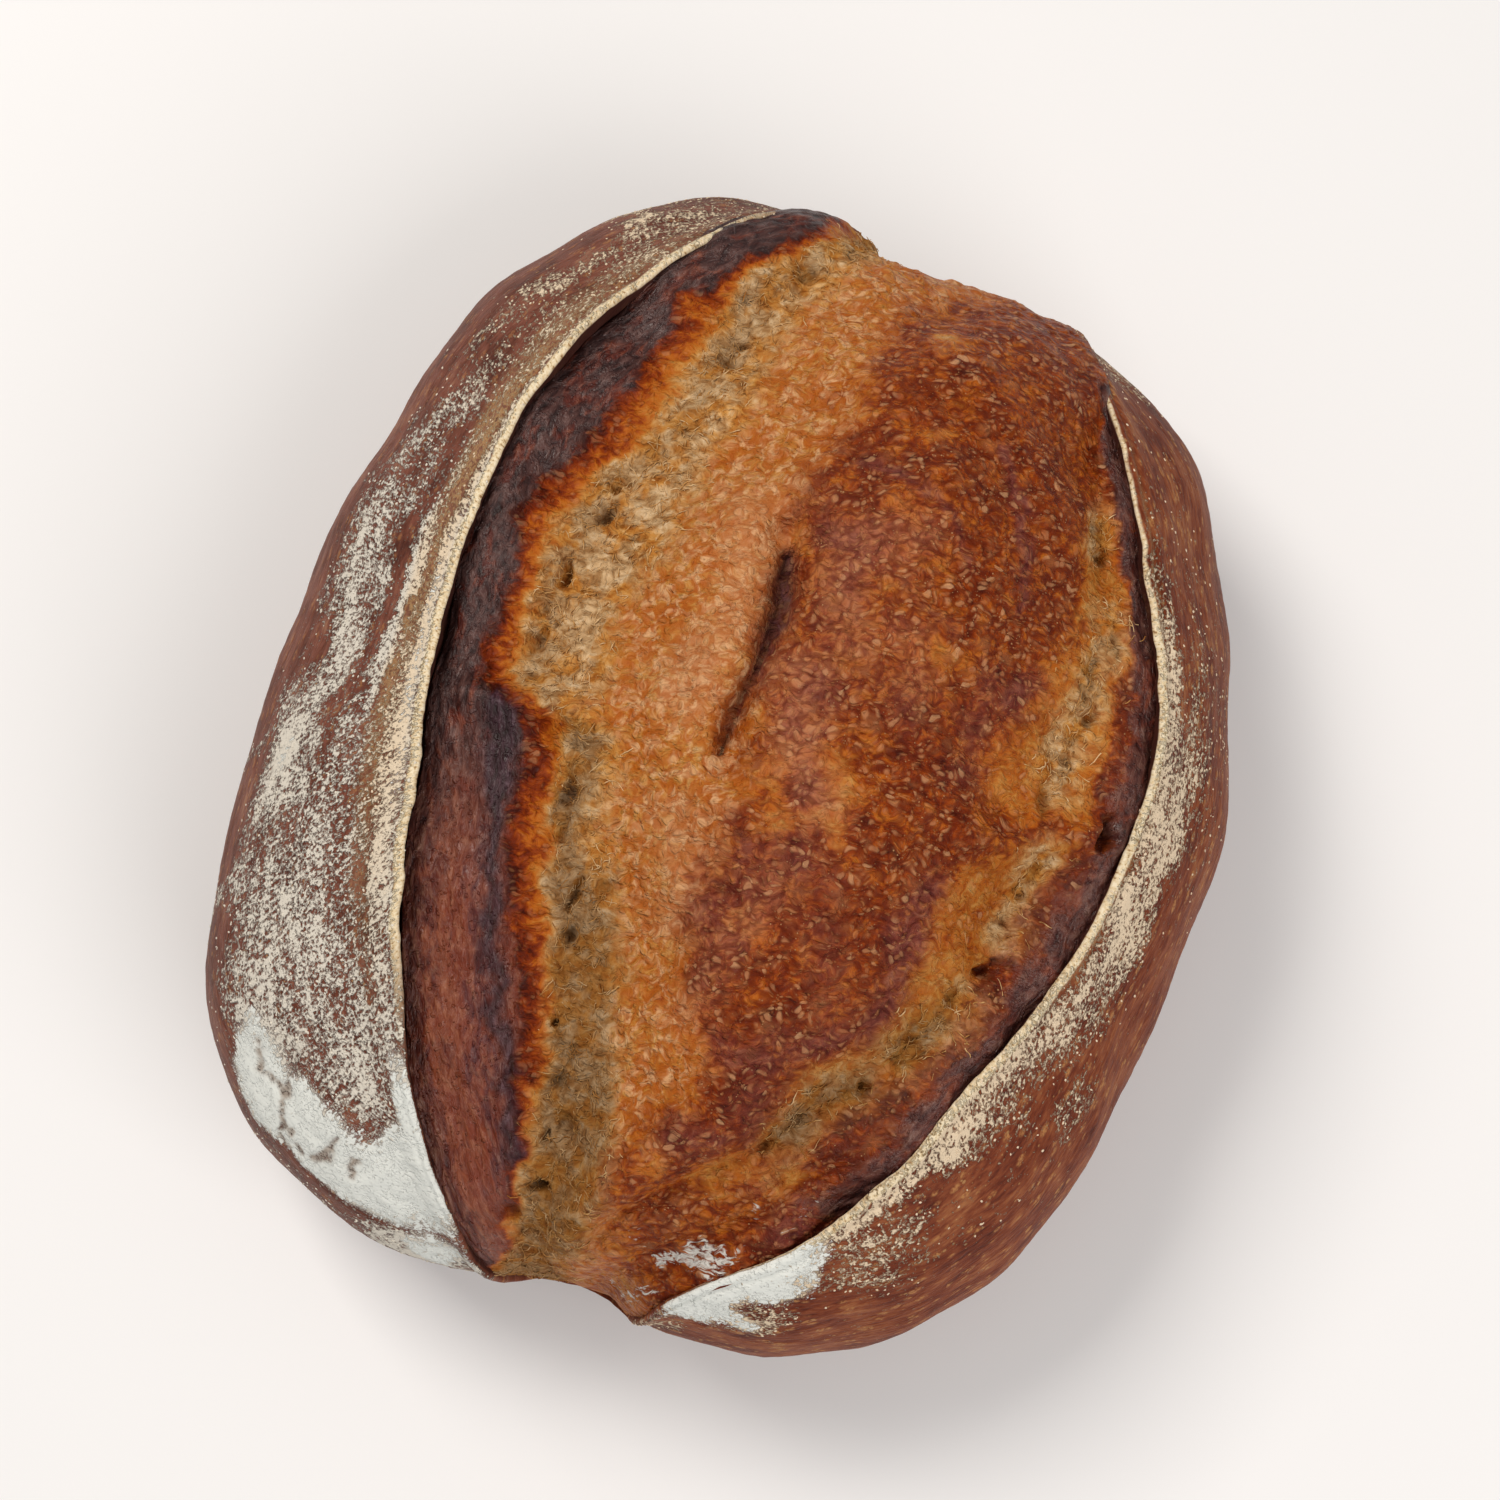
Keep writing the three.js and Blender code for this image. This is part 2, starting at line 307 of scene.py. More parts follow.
def colour(hexCode):
    channels = [int(hexCode[i:i + 2], 16) / 255 for i in (1, 3, 5)]
    return [c / 12.92 if c <= 0.04045 else ((c + 0.055) / 1.055) ** 2.4 for c in channels] + [1]


def addNode(tree, kind, inputs=(), take=None, stops=None, **settings):
    # adds a node with its settings, fills or links its sockets in order or by name, and gives one output
    node = tree.nodes.new(kind if "Node" in kind else "ShaderNode" + kind)
    for key, value in settings.items():
        setattr(node, key, value)
    sockets = [s for s in node.inputs if s.enabled]
    named = {s.name: s for s in reversed(sockets)}
    pairs = zip(sockets, inputs)
    if isinstance(inputs, dict):
        pairs = [(named[key], value) for key, value in inputs.items()]
    for socket, value in pairs:
        if isinstance(value, bpy.types.NodeSocket):
            tree.links.new(value, socket)
        else:
            socket.default_value = colour(value) if str(value).startswith("#") else value
    if stops:
        elements = node.color_ramp.elements
        while len(elements) < len(stops):
            elements.new(0.5)
        for element, (spot, shade) in zip(elements, stops):
            element.position = spot
            element.color = colour(shade)
    outputs = [s for s in node.outputs if s.enabled and take in (None, s.name)]
    return outputs[0] if outputs else None


# The crust

crust = {
    "columns": 1000,  # steps round the loaf
    "flankRows": 78, "rimRows": 8,
    "gather": 1.2,  # more than 1 draws the rows towards the lip
    "ragged": [(0.5, 12), (0.2, 4), (0.07, 1.6)],  # how the lip wanders: mm, wavelength in mm
    "uneven": 0.18,  # share by which the cut crust's thickness varies
    "edgeFall": 0.5, "edgeRound": 0.35,  # how far the cut edge slopes inwards, and its rounded corner
    "bead": 0.12, "beadWidth": 1.5,  # the cut edge stands up as a bead
    "rimWidth": 1.45,  # pale part of the cut edge
    "grooves": [(0.3, 2.9, 2.9, 0.8, 0.8), (0.28, 3.2, 9.5, 0.7, 1.4)],  # depth, place right and left, width
    "folds": 0.22, "swell": 0.35, "pimples": 0.12, "flourDepth": 0.22, "chalkLumps": 0.4,
    "crackDepth": 0.5, "crackWidth": 0.6, "crackWobble": 1.1,
    "crackBearing": 240, "crackScale": 1.25,  # middle of the cracks' chart, and mm a degree on it
    "clearance": 0.25,  # mm between the flank and the table, all but the foot's edge
    "footShares": [0.3, 0.55, 0.75, 0.88, 0.96],  # radii of the foot's rings, of its edge
    "heartLevel": 26,  # the crust closes on a point at this height inside the loaf
}

# Where flour lies, in patches with soft edges: bearing from and to, slope from and to, and the share covered.
flourPatches = [
    (100, 262, 36, 66, 0.16), (99, 119, 63, 84, 0.34), (117.6, 120.4, 60, 99, 0.5), (104, 124, 48, 60, 0.26),
    (106, 122, 58, 68, 0.24), (123, 133, 56.5, 61, 0.4), (121, 145, 43, 55, 0.3), (130, 143, 57, 62, 0.3),
    (142, 152, 50.5, 57.5, 0.36), (150, 168, 50, 58, 0.34), (152, 170, 57, 66, 0.36),
    (166, 185, 49.5, 60, 0.54), (182, 200, 49.5, 58, 0.56), (170, 182, 58, 66, 0.38),
    (189, 197, 59, 69, 0.42), (196, 209, 50, 64, 0.52), (200, 206, 55, 62, 0.54), (206, 228, 45, 62, 0.42),
    (203, 224, 60, 68, 0.34), (148, 166, 43.8, 46.4, 0.36), (162, 200, 42.2, 45.6, 0.7),
    (194, 224, 37, 47, 0.36), (218, 255, 37, 61, 0.3), (224, 237, 57, 74, 0.54), (228, 253, 39, 57, 0.36),
    (253, 264, 71, 92, 0.66), (216, 219.5, 66, 99, 0.5), (198, 200.4, 64, 99, 0.4), (234, 262, 76, 92, 0.3),
    (-64, -36, 43.5, 50, 0.62), (-42, -14, 45.5, 52.5, 0.46), (-26, 40, 51, 56.5, 0.66),
    (-17, 20, 56, 62.5, 0.66), (-60, -50, 51, 64, 0.44), (61, 71, 68, 92, 0.5), (-85, -76, 71, 85, 0.45),
    (-30, -24, 61, 67.5, 0.36), (-72, -64, 62, 73, 0.56), (-62, 60, 45, 66, 0.12), (8, 34, 60, 66, 0.18),
    (2, 42, 62, 80, 0.16),
]
# The same beside the lip: bearing from and to, mm from the lip and mm to it, and the share covered.
flourBands = [
    (122, 162, 1.4, 3.4, 0.6), (150, 202, 1.2, 5.0, 0.78), (192, 254, 0.8, 8, 0.66),
    (150, 226, 4.6, 9.5, 0.36), (-70, -18, 0.8, 5, 0.7),
]
# Flour pressed to a solid skin, in the same two ways.
chalkPatches = [
    (231.5, 243, 60, 76, 1), (240, 256, 58, 73.5, 1), (250, 262, 52, 70, 1), (200, 205, 56, 61, 0.5),
    (256, 261.5, 73, 87, 0.8), (-76, -68, 60, 72, 1), (-71, -61, 53, 64, 1),
]
chalkBands = [(246, 262, -0.6, 6, 1), (160, 222, 1.6, 5.4, 0.42), (-76, -59, -0.5, 8, 1)]
# Crust that is bare and tan beside the lip.
tanBands = [(118, 228, 2, 8.5, 1), (130, 222, 7, 12.5, 0.85), (-22, 48, 1.6, 3.2, 0.8)]
chalkCracks = [  # bearing, slope along each crack
    [(236.5, 58), (238, 62), (239.4, 66), (241, 70), (241.8, 73)], [(239, 64), (236, 66)],
    [(246, 62), (246.5, 66), (245.5, 70)], [(240.5, 69), (244, 71)], [(249, 63), (249.5, 67)],
    [(233.5, 64), (235, 68)],
]


def softBox(value, low, high, feather):
    return ease((value - low) / feather + 0.5) * ease((high - value) / feather + 0.5)


def patchCover(patches, bearing, across):
    # how far patches with soft edges cover, one over the other; bearings go round at 360
    bare = np.ones(bearing.shape)
    for first, last, low, high, share in patches:
        turn = turnBetween(bearing, (first + last) / 2) / ((last - first) / 2)
        off = (across - (low + high) / 2) / ((high - low) / 2)
        bare *= 1 - share * np.exp(-0.7 * (turn**4 + off**4))
    return 1 - bare


def evenBearings(columns):
    # bearings at even steps along the waist, and the length of the waist in mm
    turn = np.linspace(0, 360, 3601)
    line = domePoint(turn, np.full(turn.shape, 90.0))
    length = np.concatenate([[0], np.cumsum(np.linalg.norm(np.diff(line, axis=0), axis=-1))])
    return np.interp(np.arange(columns) / columns * length[-1], length, turn), length[-1]


def arcDown(slope):
    # mm from the crown down the dome
    above, below = loafForm["mmPerDegree"], loafForm["mmPerDegreeBelow"]
    return above * np.minimum(slope, 90) + below * np.maximum(slope - 90, 0)


def crustChart():
    # rows of the crust: from the foot's edge up the flank, over the rounded cut edge, and the root under it
    columns, perDegree, below = crust["columns"], loafForm["mmPerDegree"], loafForm["mmPerDegreeBelow"]
    bearing, girth = evenBearings(columns)
    turn = 2 * np.pi * np.arange(columns) / columns
    ringRadius = girth / (2 * np.pi)
    ring = np.stack([ringRadius * np.cos(turn), ringRadius * np.sin(turn), np.zeros(columns)], -1)
    form = lipForm(bearing)
    wander = sum(size * smoothNoise(ring, length, 11) for size, length in crust["ragged"])
    lip = lipSlope(bearing) + wander * form / perDegree
    thickness = lips["crust"] * (1 + crust["uneven"] * smoothNoise(ring, 7, 12))

    share = (1 - np.arange(crust["flankRows"]) / (crust["flankRows"] - 1))[:, None] ** crust["gather"]
    arc = mix(arcDown(lip) + thickness * form, arcDown(180), share)
    waistArc = arcDown(90)
    flankSlope = np.where(arc < waistArc, arc / perDegree, 90 + (arc - waistArc) / below)
    over = (np.arange(1, crust["rimRows"] + 1) / crust["rimRows"])[:, None]
    rimSlope = lip + thickness * form * (1 - over) / perDegree
    rimDrop = form * (crust["edgeFall"] * over**2.5 + crust["edgeRound"] * ease((over - 0.8) / 0.2))
    rootSlope = lip + form * np.array([0.5, 1.6, lips["overhang"] + 1.2])[:, None] / perDegree
    rootDrop = form * np.array([0.8, 1.5, 2.6])[:, None] * thickness + np.array([0, 0.6, 2.2])[:, None]

    slope = np.concatenate([flankSlope, rimSlope, rootSlope])
    bearings = np.broadcast_to(bearing, slope.shape)
    return SimpleNamespace(
        bearing=bearings, slope=slope, form=np.broadcast_to(form, slope.shape), isLeft=leftness(bearings),
        drop=np.concatenate([0 * flankSlope, rimDrop, rootDrop]),  # mm under the dome
        fromLip=(slope - lip) * perDegree,
        # places for patterns, in mm round the loaf and down it
        grain=np.stack(np.broadcast_arrays(ring[:, 0], ring[:, 1], arcDown(slope)), -1),
    )


def crustCover(at):
    # shares of flour, of pressed chalk and of tan crust; none lies on the inner side of the lip
    grain = at.grain
    warpedBearing = at.bearing + 3.0 * smoothNoise(grain, 15, 21) + 1.6 * smoothNoise(grain, 6, 22)
    warpedSlope = at.slope + 2.2 * smoothNoise(grain, 11, 23) + 1.0 * smoothNoise(grain, 4, 24)
    warpedLip = at.fromLip + 0.5 * smoothNoise(grain, (9, 9, 4), 25)

    def cover(patches, bands):
        onFlank = patchCover(patches, warpedBearing, warpedSlope)
        return np.maximum(onFlank, patchCover(bands, warpedBearing, warpedLip))

    chalk = cover(chalkPatches, chalkBands)
    flour = np.maximum(cover(flourPatches, flourBands), 0.75 * chalk)
    tan = patchCover(tanBands, warpedBearing, warpedLip)
    outside = ease((0.9 - at.drop) / 0.4)
    return flour * outside, chalk * outside, tan * outside


def brightRim(at):
    # the cut edge where it stayed pale: all of it on both sides but not at the loaf's ends
    rightBearing = turnBetween(at.bearing, 0)
    where = mix(softBox(rightBearing, -70, 66, 14), softBox(at.bearing, 106, 240, 16), at.isLeft)
    width = crust["rimWidth"] + 0.3 * smoothNoise(at.grain, (4, 4, 9), 26)
    width -= 1.2 * softBox(rightBearing, 36, 90, 16)
    rim = (1 - ease((at.fromLip - width * at.form) / 0.5)) * where * ease((1.5 - at.drop) / 0.5)
    return np.clip(rim, 0, 1)


def crackedChalk(at):
    # 1 on the cracks, which are laid out on a flat chart in mm about their own middle bearing
    middle, mmPerBearing, perDegree = crust["crackBearing"], crust["crackScale"], loafForm["mmPerDegree"]
    wobble = crust["crackWobble"] * smoothNoise(at.grain, 3.2, 34)
    x, y = turnBetween(at.bearing, middle) * mmPerBearing + wobble, at.slope * perDegree - wobble
    cracks = np.zeros(at.slope.shape)
    for path in chalkCracks:
        line = [((bearing - middle) * mmPerBearing, slope * perDegree) for bearing, slope in path]
        cracks = np.maximum(cracks, bell(distanceTo(line, x, y), crust["crackWidth"]))
    return cracks


def crustRelief(at, flour, chalk, cracks):
    # mm over the dome
    relief = crust["folds"] * smoothNoise(at.grain, (22, 22, 4), 31)
    relief += crust["swell"] * smoothNoise(at.grain, 16, 35)
    relief += crust["pimples"] * smoothNoise(at.grain, (3, 3, 2), 32)
    heaped = 0.6 + 0.6 * smoothNoise(at.grain, (2.6, 2.6, 1.7), 33)
    relief += crust["flourDepth"] * flour * (1 - 0.6 * chalk) * heaped
    relief += crust["bead"] * bell(at.fromLip - 1, crust["beadWidth"]) * at.form
    for depth, rightPlace, leftPlace, rightWidth, leftWidth in crust["grooves"]:
        place, width = mix(rightPlace, leftPlace, at.isLeft), mix(rightWidth, leftWidth, at.isLeft)
        relief -= depth * bell(at.fromLip - place, width) * at.form
    relief -= crust["crackDepth"] * cracks
    relief += crust["chalkLumps"] * chalk * smoothNoise(at.grain, (4.5, 4.5, 3.5), 36)
    return relief


def closeCrust(points, fields):
    # closes the skin over the foot, which takes the values of its edge, and on a point inside the loaf
    shares = np.array(crust["footShares"])
    foot = points[0] * np.array([1, 1, 0]) * shares[:, None, None]
    grid = np.concatenate([foot, points])
    rows, columns = grid.shape[:2]
    vertices = np.concatenate([grid.reshape(-1, 3), [[0, 0, 0], [0, 0, crust["heartLevel"]]]])
    index = np.arange(rows * columns).reshape(rows, columns)
    ahead = np.roll(index, -1, axis=1)
    quads = np.stack([index[:-1], ahead[:-1], ahead[1:], index[1:]], -1).reshape(-1, 4)
    footMiddle, heart = np.full(columns, rows * columns), np.full(columns, rows * columns + 1)
    underside = np.stack([footMiddle, ahead[0], index[0]], -1)
    inside = np.stack([index[-1], ahead[-1], heart], -1)
    fans = np.stack([underside, inside], 1).reshape(-1, 3)
    spread = {}
    for key, values in fields.items():
        whole = np.concatenate([np.repeat(values[:1], len(shares), 0), values])
        flat = whole.reshape(-1, *values.shape[2:])
        spread[key] = np.concatenate([flat, flat[:2] * 0])
    return vertices, quads.tolist() + fans.tolist(), spread


def crustGeometry():
    at = crustChart()
    flour, chalk, tan = crustCover(at)
    cracks = crackedChalk(at)
    lumps = waves(loafForm["lumps"], domePoint(at.bearing, at.slope))
    lift = lipValue(at.bearing, "leftLift", "rightLift") * (1 - ease(at.fromLip / lips["curl"]))
    grip = ease((180 - at.slope) / 25)  # the foot's edge keeps its plain form
    rise = (lift + lumps + crustRelief(at, flour, chalk, cracks)) * grip - at.drop
    points = domePoint(at.bearing, at.slope) + domeNormal(at.bearing, at.slope) * rise[..., None]
    flank = slice(1, crust["flankRows"])
    points[flank, :, 2] = np.maximum(points[flank, :, 2], crust["clearance"])
    points[0, :, 2] = 0
    return closeCrust(points, {
        "grain": at.grain, "flour": flour * grip, "chalk": chalk, "tan": tan, "rim": brightRim(at),
        "crack": cracks * chalk, "left": at.isLeft,
        # flour that was drawn out down the flank, and flour that browned where the oven was hotter
        "strokes": 0.85 * at.isLeft * ease((at.slope - 47) / 8) * ease((at.fromLip - 8) / 8),
        "warm": mix(0.85, 0.1 + 0.75 * (1 - ease((at.bearing - 128) / 30)), at.isLeft),
        "inner": ease((at.drop - 0.7) / 0.7),  # the dark inner side of the lip
    })


# The bloom: the torn skin between the lips

bloom = {
    "across": 234, "along": 412,  # steps of the mesh
    "tuck": 2.6,  # mm that it runs on under the lips
    "wrinkle": 0.34, "blister": 0.34, "bigBlister": 0.4,
    "pit": 1.5, "crumbRough": 0.5, "crumbLumps": 0.9,
    "curl": 0.6, "swell": 0.45, "fibre": 0.35,
    "streak": 0.36,  # grooves and pimples of the cut faces
    "endRise": -0.6,  # over the dome where the bloom runs down over the loaf's ends
    "nearEndDrop": 2.2,  # how much lower it lies beside the right lip at the near end
    "closeUp": 3.4,  # how far the left cut face comes up to its lip
    "skirt": 3.2, "heart": (4, 0, 30),  # depth of the border under the lips, and the point that closes it
    "eye": (40.9, -97.6, 651),  # the spot that the zones are laid out from
    "cleft": 3.0, "cleftTop": 2.1, "cleftBottom": 1.5,  # the crease's own narrow bottom
    "bandBakes": [0.93, 0.77, 0.6, 0.44, 0.26],  # from the left cut face to the crumb, in quarters
    "farBandBakes": [0.86, 0.66, 0.52, 0.41, 0.26], "nearBandBakes": [0.93, 0.81, 0.66, 0.53, 0.36],
}

# Lines along the loaf that part its colours, as y, x seen from above, from left to right
stripEdge = curveThrough([
    (-112, -8), (-100, -8.5), (-90, -11), (-80, -14.5), (-70, -17), (-60, -21), (-50, -26.5), (-40, -31.5),
    (-30, -34.5), (-20, -35.5), (-13, -39), (-8, -47), (0, -49.5), (20, -51), (30, -53), (40, -49),
    (50, -44.7), (70, -41), (80, -39), (90, -31.5), (100, -25.5), (108, -18),
])
crumbStart = curveThrough([
    (-112, -6), (-100, -6), (-80, -8), (-70, -10), (-60, -14), (-50, -17.5), (-30, -24.5), (-20, -26),
    (-12, -28), (-8, -38), (0, -42.5), (10, -45), (30, -43), (40, -40), (50, -33), (70, -31), (80, -29.5),
    (90, -26), (100, -21), (108, -13),
])
crumbEnd = curveThrough([
    (-112, 6), (-90, 8), (-80, 6), (-70, 2), (-60, -2), (-50, -3), (-40, -8), (-30, -14), (-20, -17),
    (-12, -19), (-8, -27), (0, -25), (10, -28), (30, -22), (40, -24), (60, -18), (80, -17), (100, -11),
    (108, -5),
])
goldEnd = curveThrough([
    (-112, 10), (-96, 11), (-85, 9.5), (-76, 13), (-66, 19), (-56, 14), (-46, 9), (-36, 7), (-24, 6),
    (-10, 9), (0, 6), (20, 4), (45, -2), (60, 3), (75, 1), (90, 4), (100, 10), (110, 22),
])
rightGoldStart = curveThrough([
    (-112, 30), (-96, 30), (-80, 33), (-62, 36), (-54, 39), (-50, 45), (-40, 47.5), (-20, 48.5), (-10, 53),
    (10, 51), (25, 54), (45, 57), (60, 53), (75, 50), (90, 40), (110, 30),
])
rightStripStart = curveThrough([
    (-112, 40), (-96, 40), (-85, 42), (-65, 47), (-55, 56), (-45, 61), (-35, 63), (-25, 67), (-10, 71),
    (15, 73), (30, 72), (45, 70), (55, 67), (65, 61), (80, 53), (100, 42), (112, 34),
])

# Bakes of the zones, from 0, pale crumb, to 1, almost black
bakes = {"strip": 0.9, "crumb": 0.1, "gold": 0.32, "red": 0.69, "rightGold": 0.44, "rightStrip": 0.84}

# Crumb in the right valley, then other places with a bake of their own: path, width in mm, bake, strength
rightCrumbPatches = [
    ([(66, 46), (65, 30), (65, 12)], 4.2, 0.22, 0.85), ([(67, -4), (67, -20)], 3.6, 0.24, 0.8),
    ([(61, -36), (55, -49)], 4.2, 0.2, 0.85), ([(50, -58), (42, -63), (39, -71)], 4, 0.3, 0.8),
    ([(57, 66), (58, 60)], 2.6, 0.2, 0.8),
]
bakePatches = [
    ([(16, 28), (14, 6)], 9, 0.5, 0.7), ([(20, 48), (28, 20)], 8, 0.5, 0.6),
    ([(54, -19), (54, -30)], 4, 0.38, 0.6), ([(22, -2), (26, -4)], 5, 0.36, 0.8),
    ([(15, -17), (22, -12), (27, -13)], 2.6, 0.34, 0.8), ([(13, -4), (11, -10)], 3, 0.4, 0.6),
    ([(34, 25), (38, 24)], 4, 0.44, 0.7), ([(28, -37), (17, -36)], 3, 0.46, 0.6),
    ([(14, -62), (12, -70)], 7, 0.42, 0.7), ([(13, 87), (17, 87)], 2.2, 0.36, 0.9),
    ([(15, 65), (20, 66)], 2.4, 0.38, 0.8), ([(22, -83), (42, -80)], 6, 0.36, 0.8),
    ([(22, -55), (30, -64)], 6, 0.82, 0.7), ([(2, -101), (16, -104)], 5, 0.42, 0.8),
    ([(-6, -110), (20, -112)], 6, 0.46, 0.9), ([(-5, 106), (18, 110)], 7, 0.4, 0.8),
    ([(10, 96), (24, 92)], 5, 0.55, 0.6), ([(16, -73), (22, -79), (19, -82)], 2.4, 0.9, 0.8),
    ([(9, -84), (9, -92)], 2.4, 0.78, 0.7), ([(-48, -12), (-30, -11)], 2.2, 0.8, 0.7),
    ([(-34, -16), (-30, -26)], 3.2, 0.66, 0.7), ([(-18, -62), (-15, -68)], 3, 0.86, 0.8),
    ([(-14, -76), (-12, -80)], 3, 0.8, 0.8), ([(56, -2), (68, 3)], 2.4, 0.78, 0.8),
    ([(48, 0), (56, -4)], 4, 0.62, 0.6), ([(-41, 22), (-42, 4)], 2.6, 0.3, 0.8),
    ([(52, -57), (66, -50)], 2, 0.74, 0.5),
]
# Paler, pinker places on the crown: path, width, share
pinkPatches = [
    ([(-8, 40), (-5, 18), (-8, 2)], 6, 0.75), ([(-2, -22), (4, -40)], 5, 0.6), ([(10, 40), (22, 44)], 5, 0.4),
    ([(12, 34), (18, 24)], 5, 0.4), ([(12, 12), (16, -2), (22, -10)], 5, 0.5), ([(26, 26), (32, 18)], 4, 0.3),
    ([(20, -26), (12, -56)], 4, 0.3),
]
# Plum-coloured places: path, width, strength
plumPatches = [
    ([(45, 22), (47, 6)], 4.5, 0.5), ([(47, -18), (47, -48)], 3.6, 0.85), ([(12, -24), (10, -38)], 5.5, 0.6),
    ([(42, -50), (31, -55), (21, -58)], 3.2, 0.7), ([(32, 70), (38, 60), (43, 50), (46, 40)], 1.1, 0.95),
    ([(8, 55), (18, 55), (26, 52), (33, 45)], 1.3, 0.8), ([(3, 42), (12, 38), (24, 36), (34, 30)], 1.4, 0.5),
    ([(20, -74), (26, -75)], 3.6, 0.6), ([(14, 30), (16, 6)], 6, 0.3), ([(53, 27), (52, 22)], 3.4, 0.7),
    ([(20, -20), (26, -24)], 6, 0.45), ([(30, -62), (32, -72)], 4, 0.5), ([(36, -82), (44, -66)], 2.6, 0.5),
    ([(47, -86), (44, -90)], 4, 0.6), ([(3, 24), (4, 8)], 3, 0.8), ([(20, 16), (34, 12)], 5, 0.35),
    ([(30, -32), (38, -46)], 5, 0.35), ([(-2, 50), (6, 40)], 3, 0.35),
]
# The crease's own narrow bottom
creaseBottom = [
    (0.6, 34.5), (1.7, 28.7), (3.2, 20.6), (3.4, 13.3), (2.7, 7.2), (2.4, 0.5), (1.9, -4.2), (1.5, -8),
]
# Blue-black edge where the left cut face ends, and its broad upper corner
blackEdge = [(-41, -13), (-38, -28), (-33, -45), (-29, -51), (-21, -73), (-15, -80), (-10, -93)]
blackCorner = [(-40, -14), (-38, -26)]
# Open pores: x, y, half width, half length, depth
pores = [
    (-38, 31, 1.5, 2.4, 3), (-37, 37, 1.1, 1.8, 2), (-40.3, 17, 1.2, 3, 2.6), (-41.5, 2, 2.2, 2.6, 2),
    (-43, 9, 1.6, 2.4, 1.2), (-23.4, -25, 1.6, 3.2, 3), (-22.5, -32, 1.3, 3.4, 1.8),
    (-25, -15, 2.2, 1.6, 1.8), (-9.5, -40, 2, 2, 1.6), (-15, -43, 1.4, 3.8, 2.2), (-13, -51.5, 1.8, 2.4, 2),
    (-9.2, -68, 0.8, 1.1, 2.6), (-3, -97, 2.2, 1.2, 3), (-24.5, 72.5, 2, 2.6, 2), (-24, 77, 2.6, 0.8, 1.6),
    (-27, 53, 0.9, 1.8, 1.2), (-26, 87, 1.8, 1.3, 1.6), (-17, 98, 2.6, 3, 1.8), (-5, -80, 1.6, 2.6, 1.6),
    (-1, -86, 1.4, 2, 1.4), (-5, -89, 1.2, 1.8, 1.8), (-7, -103, 1.6, 1.8, 1.6), (59.5, 59.5, 1.7, 1.3, 3.4),
    (77, 6, 1.8, 3.4, 4.2), (65, -28.5, 2, 1.3, 3.2), (67.5, -26, 1.8, 1, 1.6), (64.5, 7, 2.2, 3.4, 1.8),
    (67.7, 26, 1.8, 2.6, 2), (68, 44, 1.7, 1.6, 1.6), (65.5, 36, 1.8, 2.6, 1.6), (66, 16, 1.6, 1.2, 1.3),
    (67.5, -5.5, 1.1, 1.6, 1.4), (68, -13, 0.9, 0.9, 1.3), (67.5, -18.5, 1.2, 1, 1.2),
    (59.5, -36, 1.6, 1.5, 1.5), (56, -45, 1.4, 1.1, 1.2), (55, -51, 1.2, 0.9, 1.2), (50.5, -58, 1.2, 1.1, 2),
    (39.7, -68, 1.1, 1.1, 2.2), (35.7, -74, 0.8, 1.3, 2), (57.3, 64.5, 1.5, 2.6, 1.6),
    (50.5, 76, 0.8, 0.7, 1.6), (7.5, 94.5, 0.9, 0.6, 1), (11, -20.5, 2, 1.4, 1.3), (11, -31, 2.8, 1.3, 1.5),
    (-56, 25, 0.7, 0.9, 1), (-50, 68, 0.8, 1, 0.8),
]
# Flour that fell on the skin: path, width, share covered
dustPatches = [
    ([(24, -101), (38, -96)], 2.6, 0.5), ([(12, -95), (20, -97)], 3.5, 0.3), ([(38, -88), (37, -86)], 2, 0.4),
    ([(16, -112), (25, -108)], 2, 0.42), ([(44, -90), (50, -82)], 1.5, 0.3),
]


def bloomChart():
    # Bearings and slopes of the mesh. The chart is the slope laid off along the bearing, so that the crown is
    # its middle. Rows run across it, more degrees apart below the waist, where a degree is shorter.
    ring = np.linspace(0, 360, 7201)
    rootSlope = lipSlope(ring) + bloom["tuck"] * lipForm(ring) / loafForm["mmPerDegree"]
    loopU, loopV = rootSlope * np.cos(np.radians(ring)), rootSlope * np.sin(np.radians(ring))
    top, bottom = int(np.argmax(loopV)), int(np.argmin(loopV))
    rightU = np.concatenate([loopU[bottom:], loopU[:top]])
    rightV = np.concatenate([loopV[bottom:], loopV[:top]])
    waist, spacing, margin = 90, 3, 0.02
    highest = waist + (loopV[top] - waist) / spacing - margin
    lowest = -waist + (loopV[bottom] + waist) / spacing + margin
    arc = np.linspace(lowest, highest, bloom["along"] + 1)
    v = np.sign(arc) * np.where(np.abs(arc) > waist, waist + spacing * (np.abs(arc) - waist), np.abs(arc))
    leftEnds = np.interp(v, loopV[top:bottom][::-1], loopU[top:bottom][::-1])
    rightEnds = np.interp(v, rightV, rightU)
    u = mix(leftEnds[:, None], rightEnds[:, None], np.linspace(0, 1, bloom["across"] + 1))
    v = np.broadcast_to(v[:, None], u.shape)
    return np.mod(np.degrees(np.arctan2(v, u)), 360), np.hypot(u, v)


